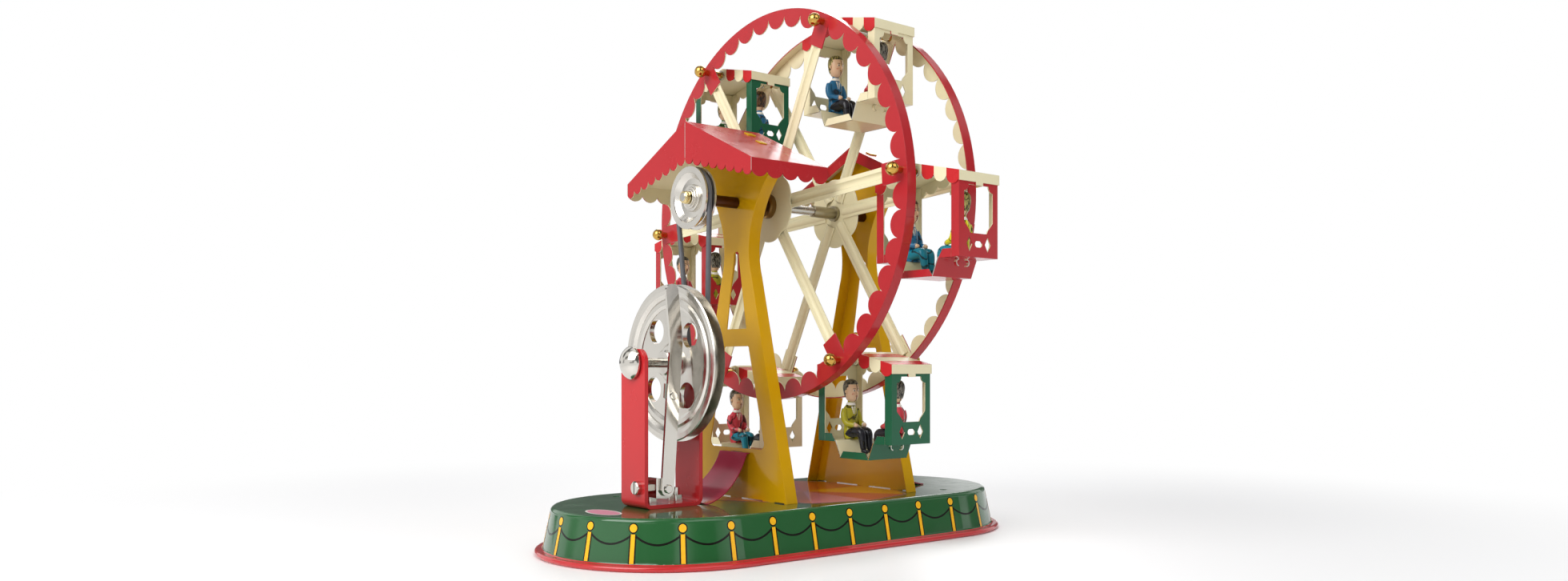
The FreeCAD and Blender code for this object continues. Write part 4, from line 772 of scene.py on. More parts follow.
@dataclass
class Base:
    """Base pan with its printed rope fence, steps, compass star and bare label place."""

    skirt_inset: float = 4.4 * MM
    post_pitch: float = 25.5 * MM
    post_phase: float = -6.8 * MM
    posts_each_way: int = 4
    post_width: float = 2.1 * MM
    outline: float = 0.7 * MM
    post_low: float = 3.4 * MM
    post_high: float = 16.8 * MM
    ball_height: float = 19.6 * MM
    ball_radius: float = 1.9 * MM
    ball_outline: float = 0.56 * MM
    rope_height: float = 17.0 * MM
    rope_droop: float = 5.2 * MM
    rope_width: float = 0.95 * MM
    steps_middle: float = -10.2 * MM
    steps_half: float = 35.0 * MM
    steps_lean: float = 1.8 * MM
    steps_to_post: float = 28.5 * MM
    tread_tops: tuple[float, ...] = (20.0 * MM, 12.6 * MM, 5.3 * MM)
    string_drop: float = 2.4 * MM
    string_width: float = 1.3 * MM
    string_backing: float = 2.0 * MM
    return_inset: float = 2.4 * MM
    return_width: float = 2.4 * MM
    return_backing: float = 3.0 * MM
    tread_depth: float = 2.0 * MM
    tread_inset: float = 3.4 * MM
    nosing: float = 1.1 * MM
    nosing_gap: float = 0.5 * MM
    nosing_reach: float = 0.9 * MM
    backing_reach: float = 1.2 * MM
    backing_over: float = 0.25 * MM
    backing_under: float = 0.3 * MM
    coat: float = 0.04 * MM
    star_outline: float = 1.03
    star_reach: float = 66.0 * MM
    star_shoulder: Spot = (34.0 * MM, 47.0 * MM)
    star_side: float = 56.0 * MM
    label_place: Spot = (122.5 * MM, 10.0 * MM)
    label_half: Spot = (7.0 * MM, 13.0 * MM)
    label_edge: float = 1.0 * MM
    same_place: float = 1.0 * MM
    post_pieces: int = 6
    rope_pieces: int = 16
    string_pieces: int = 8
    bar_pieces: int = 24
    disc_sides: int = 24
    label_sides: int = 40

    def __post_init__(self) -> None:
        """Measure the pan, unroll its skirt and find the middle of the star."""
        pan = frame["nodes"]["base_pan"].data
        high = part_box("base_pan")[1]
        self.top = high.z
        sheet = BVHTree.FromPolygons([v.co for v in pan.vertices], [p.vertices for p in pan.polygons])
        self.skirt = Skirt(sheet, high.x - high.y, high.y - self.skirt_inset)
        self.panel = self.skirt.on_far_side(self.steps_middle)
        self.heart = joint_place("wheel_spin")

    def ribbon(self, piece: Builder, line: Sequence[Spot], width: float, slot: int, level: int) -> None:
        """Print a band of even width along a line on the skirt.

        Args:
            piece: piece that gets the band.
            line: places (s, z) along its middle.
            width: its width.
            slot: number of its ink.
            level: coats of ink under it.
        """
        rows = []
        for k, (s, z) in enumerate(line):
            before, after = line[max(k - 1, 0)], line[min(k + 1, len(line) - 1)]
            run = Vector((after[0] - before[0], after[1] - before[1])).normalized() * width / 2
            rows.append([self.skirt.at(s - run.y * w, z + run.x * w, level) for w in (1.0, 0.0, -1.0)])
        piece.skin(rows, slot, closed=False)

    def disc(self, piece: Builder, s: float, z: float, radius: float, slot: int, level: int) -> None:
        """Print a round spot on the skirt.

        Args:
            piece: piece that gets the spot.
            s: its place along the skirt.
            z: its height.
            radius: its radius.
            slot: number of its ink.
            level: coats of ink under it.
        """
        ring = [self.skirt.at(s + radius * math.cos(t), z + radius * math.sin(t), level)
                for t in turns(self.disc_sides)]
        piece.fan(self.skirt.at(s, z, level), ring, slot)

    def posts(self) -> list[float]:
        """Space the posts: even along the side at +Y, fitted round each end to the steps.

        Returns:
            Their places along the skirt, in order.
        """
        reach = self.posts_each_way * self.post_pitch
        right = self.post_phase + reach
        left = self.post_phase - reach + self.skirt.length
        beside = self.steps_half + self.steps_to_post
        places = []
        for start, end in ((right, self.panel - beside), (self.panel + beside, left),
                           (left, right + self.skirt.length)):
            count = round((end - start) / self.post_pitch)
            last = end >= left
            places += [start + (end - start) * k / count for k in range(count + (0 if last else 1))]
        return places

    def fence(self) -> None:
        """Print the gold posts with their balls and the black ropes between them."""
        piece = Builder("fence_print")
        places = self.posts()
        for s in places:
            post = [(s, z) for z in spread(self.post_low, self.post_high, self.post_pieces)]
            self.ribbon(piece, post, self.post_width + 2 * self.outline, 0, 1)
            self.ribbon(piece, post, self.post_width, 1, 2)
            self.disc(piece, s, self.ball_height, self.ball_radius + self.ball_outline, 0, 1)
            self.disc(piece, s, self.ball_height, self.ball_radius, 1, 2)
        stops = sorted(places + [self.panel - self.steps_half, self.panel + self.steps_half])
        for a, b in zip(stops, stops[1:] + [stops[0] + self.skirt.length]):
            if abs((a + b) / 2 - self.panel) < self.same_place:
                continue
            droop = self.rope_droop * min(1.0, (b - a) / self.post_pitch)
            rope = [(a + (b - a) * share, self.rope_height - 4 * share * (1 - share) * droop)
                    for share in spread(0.0, 1.0, self.rope_pieces)]
            self.ribbon(piece, rope, self.rope_width, 0, 1)
        piece.build([BLACK_INK, GOLD_INK], "frame", "enamel_green")

    def bar(self, piece: Builder, half: float, high: float, low: float, slot: int, level: int) -> None:
        """Print a level bar across the steps.

        Args:
            piece: piece that gets the bar.
            half: half its length.
            high: height of its top edge.
            low: height of its bottom edge.
            slot: number of its ink.
            level: coats of ink under it.
        """
        places = spread(self.panel - half, self.panel + half, self.bar_pieces)
        piece.skin([[self.skirt.at(s, z, level) for z in (high, low)] for s in places], slot, closed=False)

    def steps(self) -> None:
        """Print the steps: leaning strings, stippled treads, plain nosings and gold returns."""
        piece = Builder("steps_print")
        low = self.post_low
        for way in (-1, 1):
            foot = self.panel + way * (self.steps_half + self.steps_lean)
            head = self.panel + way * self.steps_half
            string = list(zip(spread(foot, head, self.string_pieces),
                              spread(low, self.top - self.string_drop, self.string_pieces)))
            self.ribbon(piece, string, self.string_backing, 0, 2)
            self.ribbon(piece, string, self.string_width, 1, 3)
            returns = [(s - way * self.return_inset, z) for s, z in string[:-1]]
            self.ribbon(piece, returns, self.return_backing, 0, 1)
            self.ribbon(piece, returns, self.return_width, 2, 2)
        half = self.steps_half - self.tread_inset
        for top in self.tread_tops:
            step = top - self.tread_depth
            nose = step - self.nosing_gap
            foot = max(nose - self.nosing, low)
            self.bar(piece, half + self.backing_reach, top + self.backing_over, foot - self.backing_under, 0,
                     3)
            self.bar(piece, half, top, step, 3, 4)
            self.bar(piece, half + self.nosing_reach, nose, foot, 1, 4)
        finishes = [BLACK_INK, GOLD_INK, Ink("ochre ink", Hue.TREAD_GOLD),
                    Ink("stippled ochre ink", Hue.TREAD_GOLD, stipple=Hue.BROWNED)]
        piece.build(finishes, "frame", "enamel_green")

    def star(self) -> None:
        """Print a compass star on the top: two broad split points each way along, two short ones across."""
        piece = Builder("star_print")
        out, side = self.star_shoulder
        short = [[(0.0, 0.0), (out, way * side), (0.0, way * self.star_side), (-out, way * side)]
                 for way in (1, -1)]
        broad = [[(0.0, 0.0), (way * out, -way * side), (way * self.star_reach, 0.0), (way * out, way * side)]
                 for way in (1, -1)]
        for level, grow in enumerate((self.star_outline, 1.0)):
            for points, inks in ((short, (2, 3)), (broad, (0, 1))):
                for corners in points:
                    self.half_points(piece, corners, grow, level, inks if level else (4, 4))
        hues = (Hue.POST_GOLD, Hue.ORANGE, Hue.PINK, Hue.ROSE, Hue.LILAC)
        finishes = [Ink(f"{hue.label} ink under thick varnish", hue, roughness=0.1, specular=0.4, coat=0.4)
                    for hue in hues]
        piece.build(finishes, "frame", "enamel_green", smooth=False)

    def half_points(self, piece: Builder, corners: Sequence[Spot], grow: float, level: int,
                    slots: tuple[int, int]) -> None:
        """Print the two halves of one point of the star.

        Args:
            piece: piece that gets the point.
            corners: root, one shoulder, tip and the other shoulder, from the heart of the star.
            grow: factor on the corners.
            level: coats of ink under it.
            slots: numbers of the inks of the two halves.
        """
        z = self.top + self.coat * (level + 1)
        places = [Vector((self.heart.x + x * grow, self.heart.y + y * grow, z)) for x, y in corners]
        numbers = piece.points(places)
        for slot, half in zip(slots, ((0, 1, 2), (0, 2, 3))):
            first, second, third = (places[k] for k in half)
            turn = (second - first).cross(third - first).z
            order = half if turn > 0 else tuple(reversed(half))
            piece.face([numbers[k] for k in order], slot)

    def label(self) -> None:
        """Print the bare oval near the drive end: a white edge round a plain pink field."""
        piece = Builder("bare_label_print")
        x, y = self.label_place
        for level, shrink in enumerate((0.0, self.label_edge)):
            wide, deep = (half - shrink for half in self.label_half)
            z = self.top + self.coat * (level + 1)
            ring = [Vector((x + wide * math.cos(t), y + deep * math.sin(t), z))
                    for t in turns(self.label_sides)]
            piece.face(piece.points(ring), level)
        piece.build([WHITE_INK, Ink("pink ink", Hue.PINK)], "frame", "enamel_green", smooth=False)

    def make(self) -> None:
        """Dress the pan and print it."""
        dress(PanEnamel("green enamel of the pan", outside=Hue.BASE_GREEN, roughness=0.1, specular=0.4,
                        coat=0.4, wave=0.04, peel=0.04), "base_pan")
        self.fence()
        self.steps()
        self.star()
        self.label()


# ---- towers, roofs, ramps ---------------------------------------------------------------------
@dataclass
class StillFrame:
    """Towers, roofs and their tabs, ramps, drive bracket and the bare edges of the sheet."""

    roof_heart_drop: float = 22 * MM
    ramp_heart_drop: float = 12 * MM
    tower_face: float = 47.6 * MM
    tower_sheet: float = 0.6 * MM
    edge_height: float = 0.5 * MM
    edge_lift: float = 0.05 * MM
    edge_spans: tuple[Spot, ...] = ((-41.0, -33.0), (-23.0, -5.0), (5.0, 23.0), (33.0, 41.0))
    roof_slope: float = math.radians(25)
    gable_inset: float = 0.75 * MM
    gable_depth: float = 6.2 * MM
    gable_sheet: float = 0.5 * MM
    seam_width: float = 0.35 * MM
    seam_height: float = 18.6 * MM
    end_height: float = 6.5 * MM
    tab_middle: float = 24.0 * MM
    tab_width: float = 4.0 * MM
    tab_reach: float = 4.6 * MM

    def __post_init__(self) -> None:
        """Find the wheel's middle plane."""
        self.middle = joint_place("wheel_spin").x

    def roofs(self) -> None:
        """Dress both roofs, red outside and cream inside, and close their wheel sides."""
        tabs = Builder("outer_roof_tabs")
        for node, side in (("drive_roof", 1), ("far_roof", -1)):
            low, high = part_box(node)
            heart = ((low.x + high.x) / 2, 0.0, high.z - self.roof_heart_drop)
            enamel = Enamel(f"red enamel of {node}", outside=Hue.DEEP_RED, inside=Hue.CREAM, heart=heart,
                            roughness=0.2, specular=0.12, coat=0.03, wave=0.02, peel=0.0)
            dress(enamel, node)
            self.gable(node, side, enamel)
            self.seams(node, side)
            self.roof_tabs(tabs, self.middle + side * self.tower_face, side, high.z)
        tabs.build([Enamel("yellow enamel", outside=Hue.YELLOW)], "frame", "enamel_yellow", smooth=False)

    def gable(self, node: str, side: int, enamel: Finish) -> None:
        """Add the narrow gable band under the slopes at the wheel side of a roof.

        Args:
            node: the roof.
            side: 1 at the drive end, -1 at the far end.
            enamel: finish of the roof.
        """
        low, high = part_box(node)
        near = low.x if side > 0 else high.x
        ridge, half = high.z - self.gable_inset, high.y - self.gable_inset
        eave = ridge - half * math.tan(self.roof_slope)
        outline = [(0.0, ridge), (half, eave), (half, eave - self.gable_depth),
                   (0.0, ridge - self.gable_depth), (-half, eave - self.gable_depth), (-half, eave)]
        piece = Builder(f"{node}_wheel_gable")
        depth = Vector((side * self.gable_sheet, 0.0, 0.0))
        piece.prism([Vector((near, y, z)) for y, z in outline], depth, 0, 0)
        piece.build([enamel], "frame", "enamel_red", smooth=False)

    def seams(self, node: str, side: int) -> None:
        """Lay the bare edges of the outer gable: the joint at its middle and its upright ends.

        Args:
            node: the roof.
            side: 1 at the drive end, -1 at the far end.
        """
        low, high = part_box(node)
        out = high.x if side > 0 else low.x
        half = high.y
        eave = high.z - half * math.tan(self.roof_slope)
        piece = Builder(f"{node}_bare_edges")
        depth = Vector((side * self.edge_lift, 0.0, 0.0))
        for y, top, tall in ((0.0, high.z - self.gable_inset, self.seam_height),
                             (half - self.seam_width, eave, self.end_height),
                             (-half + self.seam_width, eave, self.end_height)):
            left, right = y - self.seam_width / 2, y + self.seam_width / 2
            corners = [(left, top), (right, top), (right, top - tall), (left, top - tall)]
            piece.prism([Vector((out, a, b)) for a, b in corners], depth, 0, 0)
        piece.build([CUT_TIN], "frame", "enamel_red", smooth=False)

    def roof_tabs(self, piece: Builder, face: float, side: int, ridge: float) -> None:
        """Fold the tower's second tab down on each slope, away from the wheel.

        Args:
            piece: piece that gets the tabs.
            face: X of the tower's outer face.
            side: 1 at the drive end, -1 at the far end.
            ridge: height of the roof's ridge.
        """
        fall = math.tan(self.roof_slope)
        for way in (1, -1):
            outline = []
            for y, lift in ((-0.5, 0.0), (0.5, 0.0), (0.5, 1.0), (-0.5, 1.0)):
                out = self.tab_middle + y * self.tab_width
                outline.append(Vector((face - side * self.tower_sheet, way * out,
                                       ridge - out * fall + self.edge_lift + lift * self.tower_sheet)))
            piece.prism(outline, Vector((side * self.tab_reach, 0.0, 0.0)), 0, 0)

    def ramps(self) -> None:
        """Dress both ramps, raspberry on top and cream below."""
        for node, side in (("drive_ramp", 1), ("far_ramp", -1)):
            heart = (self.middle + side * self.tower_face, 0.0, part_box(node)[0].z - self.ramp_heart_drop)
            dress(Enamel(f"raspberry enamel of {node}", outside=Hue.RASPBERRY, inside=Hue.CREAM, heart=heart),
                  node)

    def foot_edges(self) -> None:
        """Lay the bright cut edges of the tower sheets along the pan, between the tabs."""
        piece = Builder("tower_foot_edges")
        pan_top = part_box("base_pan")[1].z
        for side in (1, -1):
            outer = self.middle + side * (self.tower_face + self.edge_lift)
            inner = self.middle + side * (self.tower_face - self.tower_sheet - self.edge_lift)
            for start, end in self.edge_spans:
                corners = [(start, 0.0), (end, 0.0), (end, self.edge_height), (start, self.edge_height)]
                for x, way in ((outer, side), (inner, -side)):
                    places = [Vector((x, y * MM, pan_top + z)) for y, z in corners]
                    piece.face(piece.points(places if way > 0 else list(reversed(places))), 0)
        piece.build([CUT_TIN], "frame", "steel", smooth=False)

    def make(self) -> None:
        """Dress the sheet pieces of the still frame."""
        dress(Enamel("yellow enamel", outside=Hue.YELLOW), "drive_tower", "far_tower")
        self.roofs()
        self.ramps()
        self.foot_edges()
        dress(Enamel("red enamel of the bracket", outside=Hue.RED, roughness=0.2), "drive_bracket")
        dress(NICKEL, "bracket_screws", "bracket_nuts", "lever_lug", "lug_screw", "lug_nut", "pivot_rivet")


# ---- drive ------------------------------------------------------------------------------------
@dataclass
class Drive:
    """Drive shaft with its pulleys and knob, the belt and the brake."""

    def make(self) -> None:
        """Dress the drive group, the belt and the brake."""
        axis = joint_place("drive_spin")
        turned = Metal("nickel turned on the drive shaft", Hue.NICKEL, 0.16, turned_about=(axis.y, axis.z))
        dress(turned, "big_pulley", "big_pulley_web", "pulley_hubs", "belt_pulley")
        dress(Metal("polished nickel knob", Hue.NICKEL, 0.07), "shaft_knob")
        dress(STEEL, "drive_shaft", "set_screw")
        dress(BROWNED, "belt_pulley_grub")
        dress(Rubber("round rubber belt"), "drive_belt")
        dress(NICKEL, "brake_lever", "brake_shoe", "shoe_rivet")


# ---- wheel ------------------------------------------------------------------------------------
@dataclass
class Wheel:
    """Rings with their lap seams, spokes, hubs and rods, and the turned pieces on the axle.

    Profiles are (x, radius) in mm: the ferrule's from the axle's end, the dish's and what it clears
    from the pulley's outer face, the tube's from the wheel's middle.
    """

    ring_depth: float = 3.0 * MM
    seam_turn: float = math.radians(-12)
    seam_length: float = 13.0 * MM
    seam_thickness: float = 0.22 * MM
    seam_lift: float = 0.02 * MM
    seam_pieces: int = 12
    sharp_turn: float = math.radians(25)
    ferrule: tuple[Spot, ...] = ((-3.4, 2.6), (-3.4, 3.4), (-2.3, 3.4), (-2.1, 2.9), (-1.7, 2.9), (-1.5, 3.2),
                                 (-0.7, 3.2), (-0.3, 2.7), (-0.3, 0.0))
    dish: tuple[Spot, ...] = ((0.0, 13.2), (-0.35, 12.95), (-2.7, 10.4), (-3.0, 7.3), (-1.8, 7.0),
                              (-1.6, 6.8), (-1.6, 5.8), (-0.8, 5.6), (-0.7, 5.4), (-0.7, 4.6), (-0.1, 4.4),
                              (0.0, 4.2), (0.0, 2.6))
    dish_cleared: Spot = (-1.85, 13.25)
    bush_tube: tuple[Spot, ...] = ((-22.7, 2.4), (-22.7, 3.3), (-7.2, 3.3), (-6.9, 3.0), (-6.9, 2.4))

    def __post_init__(self) -> None:
        """Find the axle."""
        self.axle = joint_place("wheel_spin")

    def rings(self) -> None:
        """Dress the rings, red outside and cream inside."""
        for node, side in (("ring_drive", 1), ("ring_far", -1)):
            low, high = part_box(node)
            face = high.x if side > 0 else low.x
            heart = (face - side * self.ring_depth, self.axle.y, self.axle.z)
            dress(Enamel(f"red enamel of {node}", outside=Hue.DEEP_RED, inside=Hue.CREAM, heart=heart), node)
            self.seam(node)

    def seam(self, node: str) -> None:
        """Lap the end of the band over its start.

        Args:
            node: the ring.
        """
        low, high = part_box(node)
        radius = high.z - self.axle.z + self.seam_lift
        half = self.seam_length / radius / 2
        rows = []
        for turn in spread(self.seam_turn - half, self.seam_turn + half, self.seam_pieces):
            out = Vector((0.0, math.cos(turn), math.sin(turn)))
            rows.append([Vector((x, self.axle.y, self.axle.z)) + out * (radius + lift)
                         for x, lift in ((low.x, 0.0), (high.x, 0.0), (high.x, self.seam_thickness),
                                         (low.x, self.seam_thickness))])
        piece = Builder(f"{node}_lap")
        piece.skin(rows, 0)
        piece.build([Enamel("red enamel of the laps", outside=Hue.DEEP_RED)], "wheel", "enamel_red",
                    smooth=False)

    def turned(self, piece: Builder, start: float, profile: Sequence[Spot]) -> None:
        """Turn a profile in mm about the axle, from an X in metres."""
        piece.turn([(start + x * MM, radius * MM) for x, radius in profile], self.axle, 0)

    def axle_pieces(self) -> None:
        """Make the brass ferrule on the axle's outer end and the plain tube against the far hub disc."""
        for name, start, profile, finish, slot in (
                ("axle_ferrule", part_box("axle")[1].x, self.ferrule, PALE_BRASS, "brass"),
                ("far_bush_tube", self.axle.x, self.bush_tube, GREYED, "nickel")):
            piece = Builder(name)
            self.turned(piece, start, profile)
            piece.build([finish], "wheel", slot)

    def pulley(self) -> None:
        """Turn a deeper dish with a stepped hub into the outer face of the upper pulley."""
        mesh = frame["nodes"]["upper_pulley"].data
        face_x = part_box("upper_pulley")[1].x
        depth, reach = self.dish_cleared
        kept = []
        for face in mesh.polygons:
            corners = [mesh.vertices[k].co - self.axle for k in face.vertices]
            deep = min(c.x + self.axle.x - face_x for c in corners) > depth * MM
            if not (deep and max(math.hypot(c.y, c.z) for c in corners) < reach * MM):
                kept.append(tuple(face.vertices))
        used = sorted({k for corners in kept for k in corners})
        piece = Builder("dished_upper_pulley")
        numbers = dict(zip(used, piece.points([mesh.vertices[k].co.copy() for k in used])))
        for corners in kept:
            piece.face([numbers[k] for k in corners], 0)
        self.turned(piece, face_x, self.dish)
        nickel = Metal("nickel turned on the axle", Hue.NICKEL, 0.16, turned_about=(self.axle.y, self.axle.z))
        made = piece.build([nickel], "wheel", "nickel")
        made.data.set_sharp_from_angle(angle=self.sharp_turn)
        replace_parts(made, "upper_pulley")

    def bushes(self) -> None:
        """Dress the hub bushes: bronze at the drive side, greyed nickel at the far side."""
        mesh = frame["nodes"]["hub_bushes"].data
        dress(BRONZE, "hub_bushes")
        mesh.materials.append(GREYED.material())
        far = [int(face.center.x < self.axle.x) for face in mesh.polygons]
        mesh.polygons.foreach_set("material_index", far)

    def make(self) -> None:
        """Dress everything that turns with the axle."""
        self.rings()
        self.axle_pieces()
        self.pulley()
        dress(Enamel("cream enamel", outside=Hue.CREAM), "spokes_drive", "spokes_far", "hub_disc_drive",
              "hub_disc_far")
        self.bushes()
        dress(NICKEL, "end_collar")
        dress(STEEL, "axle", "cross_rods", "rod_washers")
        dress(BROWNED, "spacer_sleeves", "axle_grub_screws")
        dress(BRASS, "rod_balls", "rod_spacers")


# ---- gondolas and riders ----------------------------------------------------------------------
@dataclass(frozen=True)
class Outfit:
    """Colours of one rider."""

    jacket: Hue
    trousers: Hue
    hair: Hue


class Part(Enum):
    """Printed parts of a rider, in the order of its finishes."""

    JACKET = 0
    TROUSERS = 1
    SKIN = 2
    HAIR = 3
    SHOES = 4
    LINEN = 5
    LINE = 6
    LIPS = 7
    CHEEK = 8


@dataclass
class Rider:
    """Seated tin figure of two pressed halves with a seam flange, printed clothes and a plain toy face.

    All sizes are in mm; x runs across the rider, y back from the back line, z up from the seat.
    Sections are (y, z, half x, half y), limbs rows of (x, y, z, radius), and spots have their ink, the
    middle (x, z), half the width and height, and the lift over the surface.
    """

    name: str
    body: str
    seat: Vector
    way: int
    outfit: Outfit
    back: float = 17.5
    sides: int = 24
    steps: int = 4
    collar_steps: int = 3
    hair_steps: int = 6
    spot_sides: int = 12
    spot_start: float = -14.0
    torso: Rows = (
        (-1.0, 0.0, 4.4, 4.0), (-0.7, 3.4, 4.9, 4.0), (-0.2, 8.0, 4.4, 3.2), (0.3, 12.6, 4.9, 3.2),
        (0.5, 16.0, 4.7, 2.9), (0.3, 18.2, 3.1, 2.2), (0.1, 19.4, 1.9, 1.8), (-0.1, 20.8, 1.8, 1.8))
    head: Rows = (
        (-0.9, 20.3, 1.3, 1.7), (-0.9, 21.3, 2.5, 3.1), (-0.7, 23.2, 3.3, 3.9), (-0.4, 25.6, 3.7, 4.3),
        (-0.2, 28.2, 3.8, 4.5), (0.1, 30.6, 3.1, 3.8), (0.1, 32.0, 1.8, 2.4), (0.1, 32.5, 0.5, 0.8))
    collar: Rows = ((0.1, 18.3, 2.7, 2.5), (0.05, 19.2, 2.5, 2.4), (0.0, 19.9, 1.9, 1.9))
    torso_flange: Spot = (0.45, 0.2)
    head_flange: Spot = (0.38, 0.18)
    hair_shell: Spot = (0.3, 0.3)
    limbs: tuple[tuple[Part, Rows], ...] = (
        (Part.JACKET, ((4.3, 0.3, 16.2, 1.6), (5.3, -0.2, 13.0, 1.8), (5.2, -1.8, 9.2, 1.7),
                       (4.2, -4.8, 8.2, 1.5), (3.4, -6.8, 7.9, 1.3))),
        (Part.LINEN, ((3.5, -6.4, 7.95, 1.36), (3.45, -6.9, 7.9, 1.3))),
        (Part.SKIN, ((3.4, -6.6, 7.9, 1.0), (3.1, -7.6, 7.7, 1.15), (2.7, -8.4, 7.3, 0.7))),
        (Part.TROUSERS, ((2.2, -0.6, 3.0, 2.7), (2.4, -5.4, 3.9, 2.7), (2.5, -9.6, 4.3, 2.5),
                         (2.5, -11.2, 2.8, 2.3), (2.4, -11.9, -1.6, 1.9), (2.3, -12.4, -5.0, 1.6))),
        (Part.SHOES, ((2.3, -12.0, -5.3, 1.4), (2.3, -13.4, -6.0, 1.35), (2.3, -15.4, -6.3, 0.9))))
    nose: Rows = ((0.0, -4.6, 26.2, 0.4), (0.0, -5.3, 24.9, 0.62), (0.0, -4.7, 24.2, 0.4))
    ear: Rows = ((3.6, -0.6, 26.6, 0.35), (3.98, -0.4, 25.7, 0.6), (3.6, -0.7, 24.6, 0.3))
    shirt: tuple[Spot, ...] = ((17.2, 1.3), (16.2, 1.0), (15.2, 0.75), (14.2, 0.5))
    shirt_off: float = 0.2
    shirt_half: float = 0.6
    shirt_lift: float = 0.06
    buttons: tuple[float, ...] = (11.8, 9.2, 6.6)
    button_off: float = 0.9
    button_radius: float = 0.32
    button_lift: float = 0.07
    paired_spots: tuple[tuple[Part, Spot, Spot, float], ...] = (
        (Part.LINEN, (1.45, 26.3), (0.66, 0.4), 0.05), (Part.LINE, (1.4, 26.25), (0.34, 0.36), 0.1),
        (Part.LINE, (1.5, 27.3), (0.8, 0.16), 0.07), (Part.CHEEK, (1.9, 24.4), (0.6, 0.45), 0.04))
    middle_spots: tuple[tuple[Part, Spot, Spot, float], ...] = (
        (Part.LIPS, (0.0, 23.3), (0.8, 0.24), 0.07), (Part.LINE, (0.0, 22.5), (0.5, 0.1), 0.06))
    face_front: float = 1.8
    hairline: float = 29.7
    nape: float = 22.6
    nape_back: float = 1.4
    nape_rise: float = 1.9
    hair_middle: float = -0.3
    hair_pull: float = 0.85

    def __post_init__(self) -> None:
        """Start the figure."""
        self.piece = Builder(self.name)

    def place(self, x: float, y: float, z: float) -> Vector:
        """Return a place given in the rider's mm."""
        return self.seat + Vector((self.way * x, self.way * (self.back + y), z)) * MM

    def rings(self, sections: Sequence[Sequence[float]], steps: int, grow: Spot = (0.0, 0.0),
              thin: float | None = None) -> list[list[Vector]]:
        """Draw smooth level rings through sections.

        Args:
            sections: the sections.
            steps: rings between two sections.
            grow: mm added to half x and half y.
            thin: half x that replaces the section's, for a flange.

        Returns:
            Rings of equal numbers of places.
        """
        rings = []
        for y, z, half_x, half_y in smooth_line([Vector(s) for s in sections], steps):
            wide = thin if thin is not None else half_x + grow[0]
            deep = half_y + grow[1]
            rings.append([self.place(wide * math.cos(t), y + deep * math.sin(t), z)
                          for t in turns(self.sides)])
        return rings

    def limb(self, part: Part, rows: Sequence[Sequence[float]], side: int = 1) -> None:
        """Add a bent limb on one side; its rows are (x, y, z, radius)."""
        fine = smooth_line([Vector((side * x, y, z, radius)) for x, y, z, radius in rows],
                           self.steps)
        self.piece.tube([self.place(v[0], v[1], v[2]) for v in fine], [v[3] * MM for v in fine], part.value)

    def spot(self, shape: BVHTree, part: Part, centre: Spot, half: Spot, lift: float, side: int = 1) -> None:
        """Print one oval on the front.

        Args:
            shape: surface under it.
            part: its print.
            centre: its x and z.
            half: half its width and height.
            lift: its height over the surface.
            side: 1 or -1, the side that it lies on.
        """
        inward = Vector((0.0, self.way, 0.0))
        ring = []
        for t in turns(self.spot_sides):
            start = self.place(side * centre[0] + half[0] * math.cos(t), self.spot_start,
                               centre[1] + half[1] * math.sin(t))
            hit = shape.ray_cast(start, inward)[0]
            if hit is not None:
                ring.append(hit - inward * lift * MM)
        if len(ring) > 2:
            self.piece.face(self.piece.points(ring), part.value)

    def solid(self, name: str, rings: Sequence[Sequence[Vector]], part: Part) -> BVHTree:
        """Add a closed form and return its surface, for laying prints on it.

        Args:
            name: name of the form.
            rings: its rings.
            part: its print.

        Returns:
            Tree of its faces.
        """
        form = Builder(name)
        form.skin(rings, 0)
        self.piece.skin(rings, part.value)
        return form.surface()

    def trunk(self) -> None:
        """Add torso, seam flange, collar, shirt front and buttons."""
        shape = self.solid("trunk", self.rings(self.torso, self.steps), Part.JACKET)
        grow, thin = self.torso_flange
        flange = self.rings(self.torso[:-1], self.steps, grow=(0.0, grow), thin=thin)
        self.piece.skin(flange, Part.JACKET.value)
        self.piece.skin(self.rings(self.collar, self.collar_steps), Part.LINEN.value)
        for z, half in self.shirt:
            for side in (1, -1):
                self.spot(shape, Part.LINEN, (half / 2 + self.shirt_off, z), (half / 2, self.shirt_half),
                          self.shirt_lift, side)
        for z in self.buttons:
            self.spot(shape, Part.LINE, (self.button_off, z), (self.button_radius, self.button_radius),
                      self.button_lift)

    def hair_place(self, place: Vector) -> Vector:
        """Pull the hair's shell into the head where face and neck show.

        Args:
            place: place on the shell.

        Returns:
            The place, moved inwards below the hairline.
        """
        local = (place - self.seat) / MM
        forward = self.back - self.way * local.y
        behind = self.nape + max(0.0, forward + self.nape_back) * self.nape_rise
        line = self.hairline if forward > self.face_front else behind
        if local.z >= line:
            return place
        centre = self.place(0.0, self.hair_middle, local.z)
        return centre + (place - centre) * self.hair_pull

    def crown(self) -> None:
        """Add head, seam flange, hair, nose, ears and the printed face."""
        shape = self.solid("head", self.rings(self.head, self.steps), Part.SKIN)
        grow, thin = self.head_flange
        flange = self.rings(self.head, self.steps, grow=(0.0, grow), thin=thin)
        self.piece.skin(flange, Part.HAIR.value)
        hair = self.rings(self.head[1:], self.hair_steps, grow=self.hair_shell)
        self.piece.skin([[self.hair_place(p) for p in ring] for ring in hair], Part.HAIR.value)
        self.limb(Part.SKIN, self.nose)
        for side in (1, -1):
            self.limb(Part.SKIN, self.ear, side)
            for part, centre, half, lift in self.paired_spots:
                self.spot(shape, part, centre, half, lift, side)
        for part, centre, half, lift in self.middle_spots:
            self.spot(shape, part, centre, half, lift)

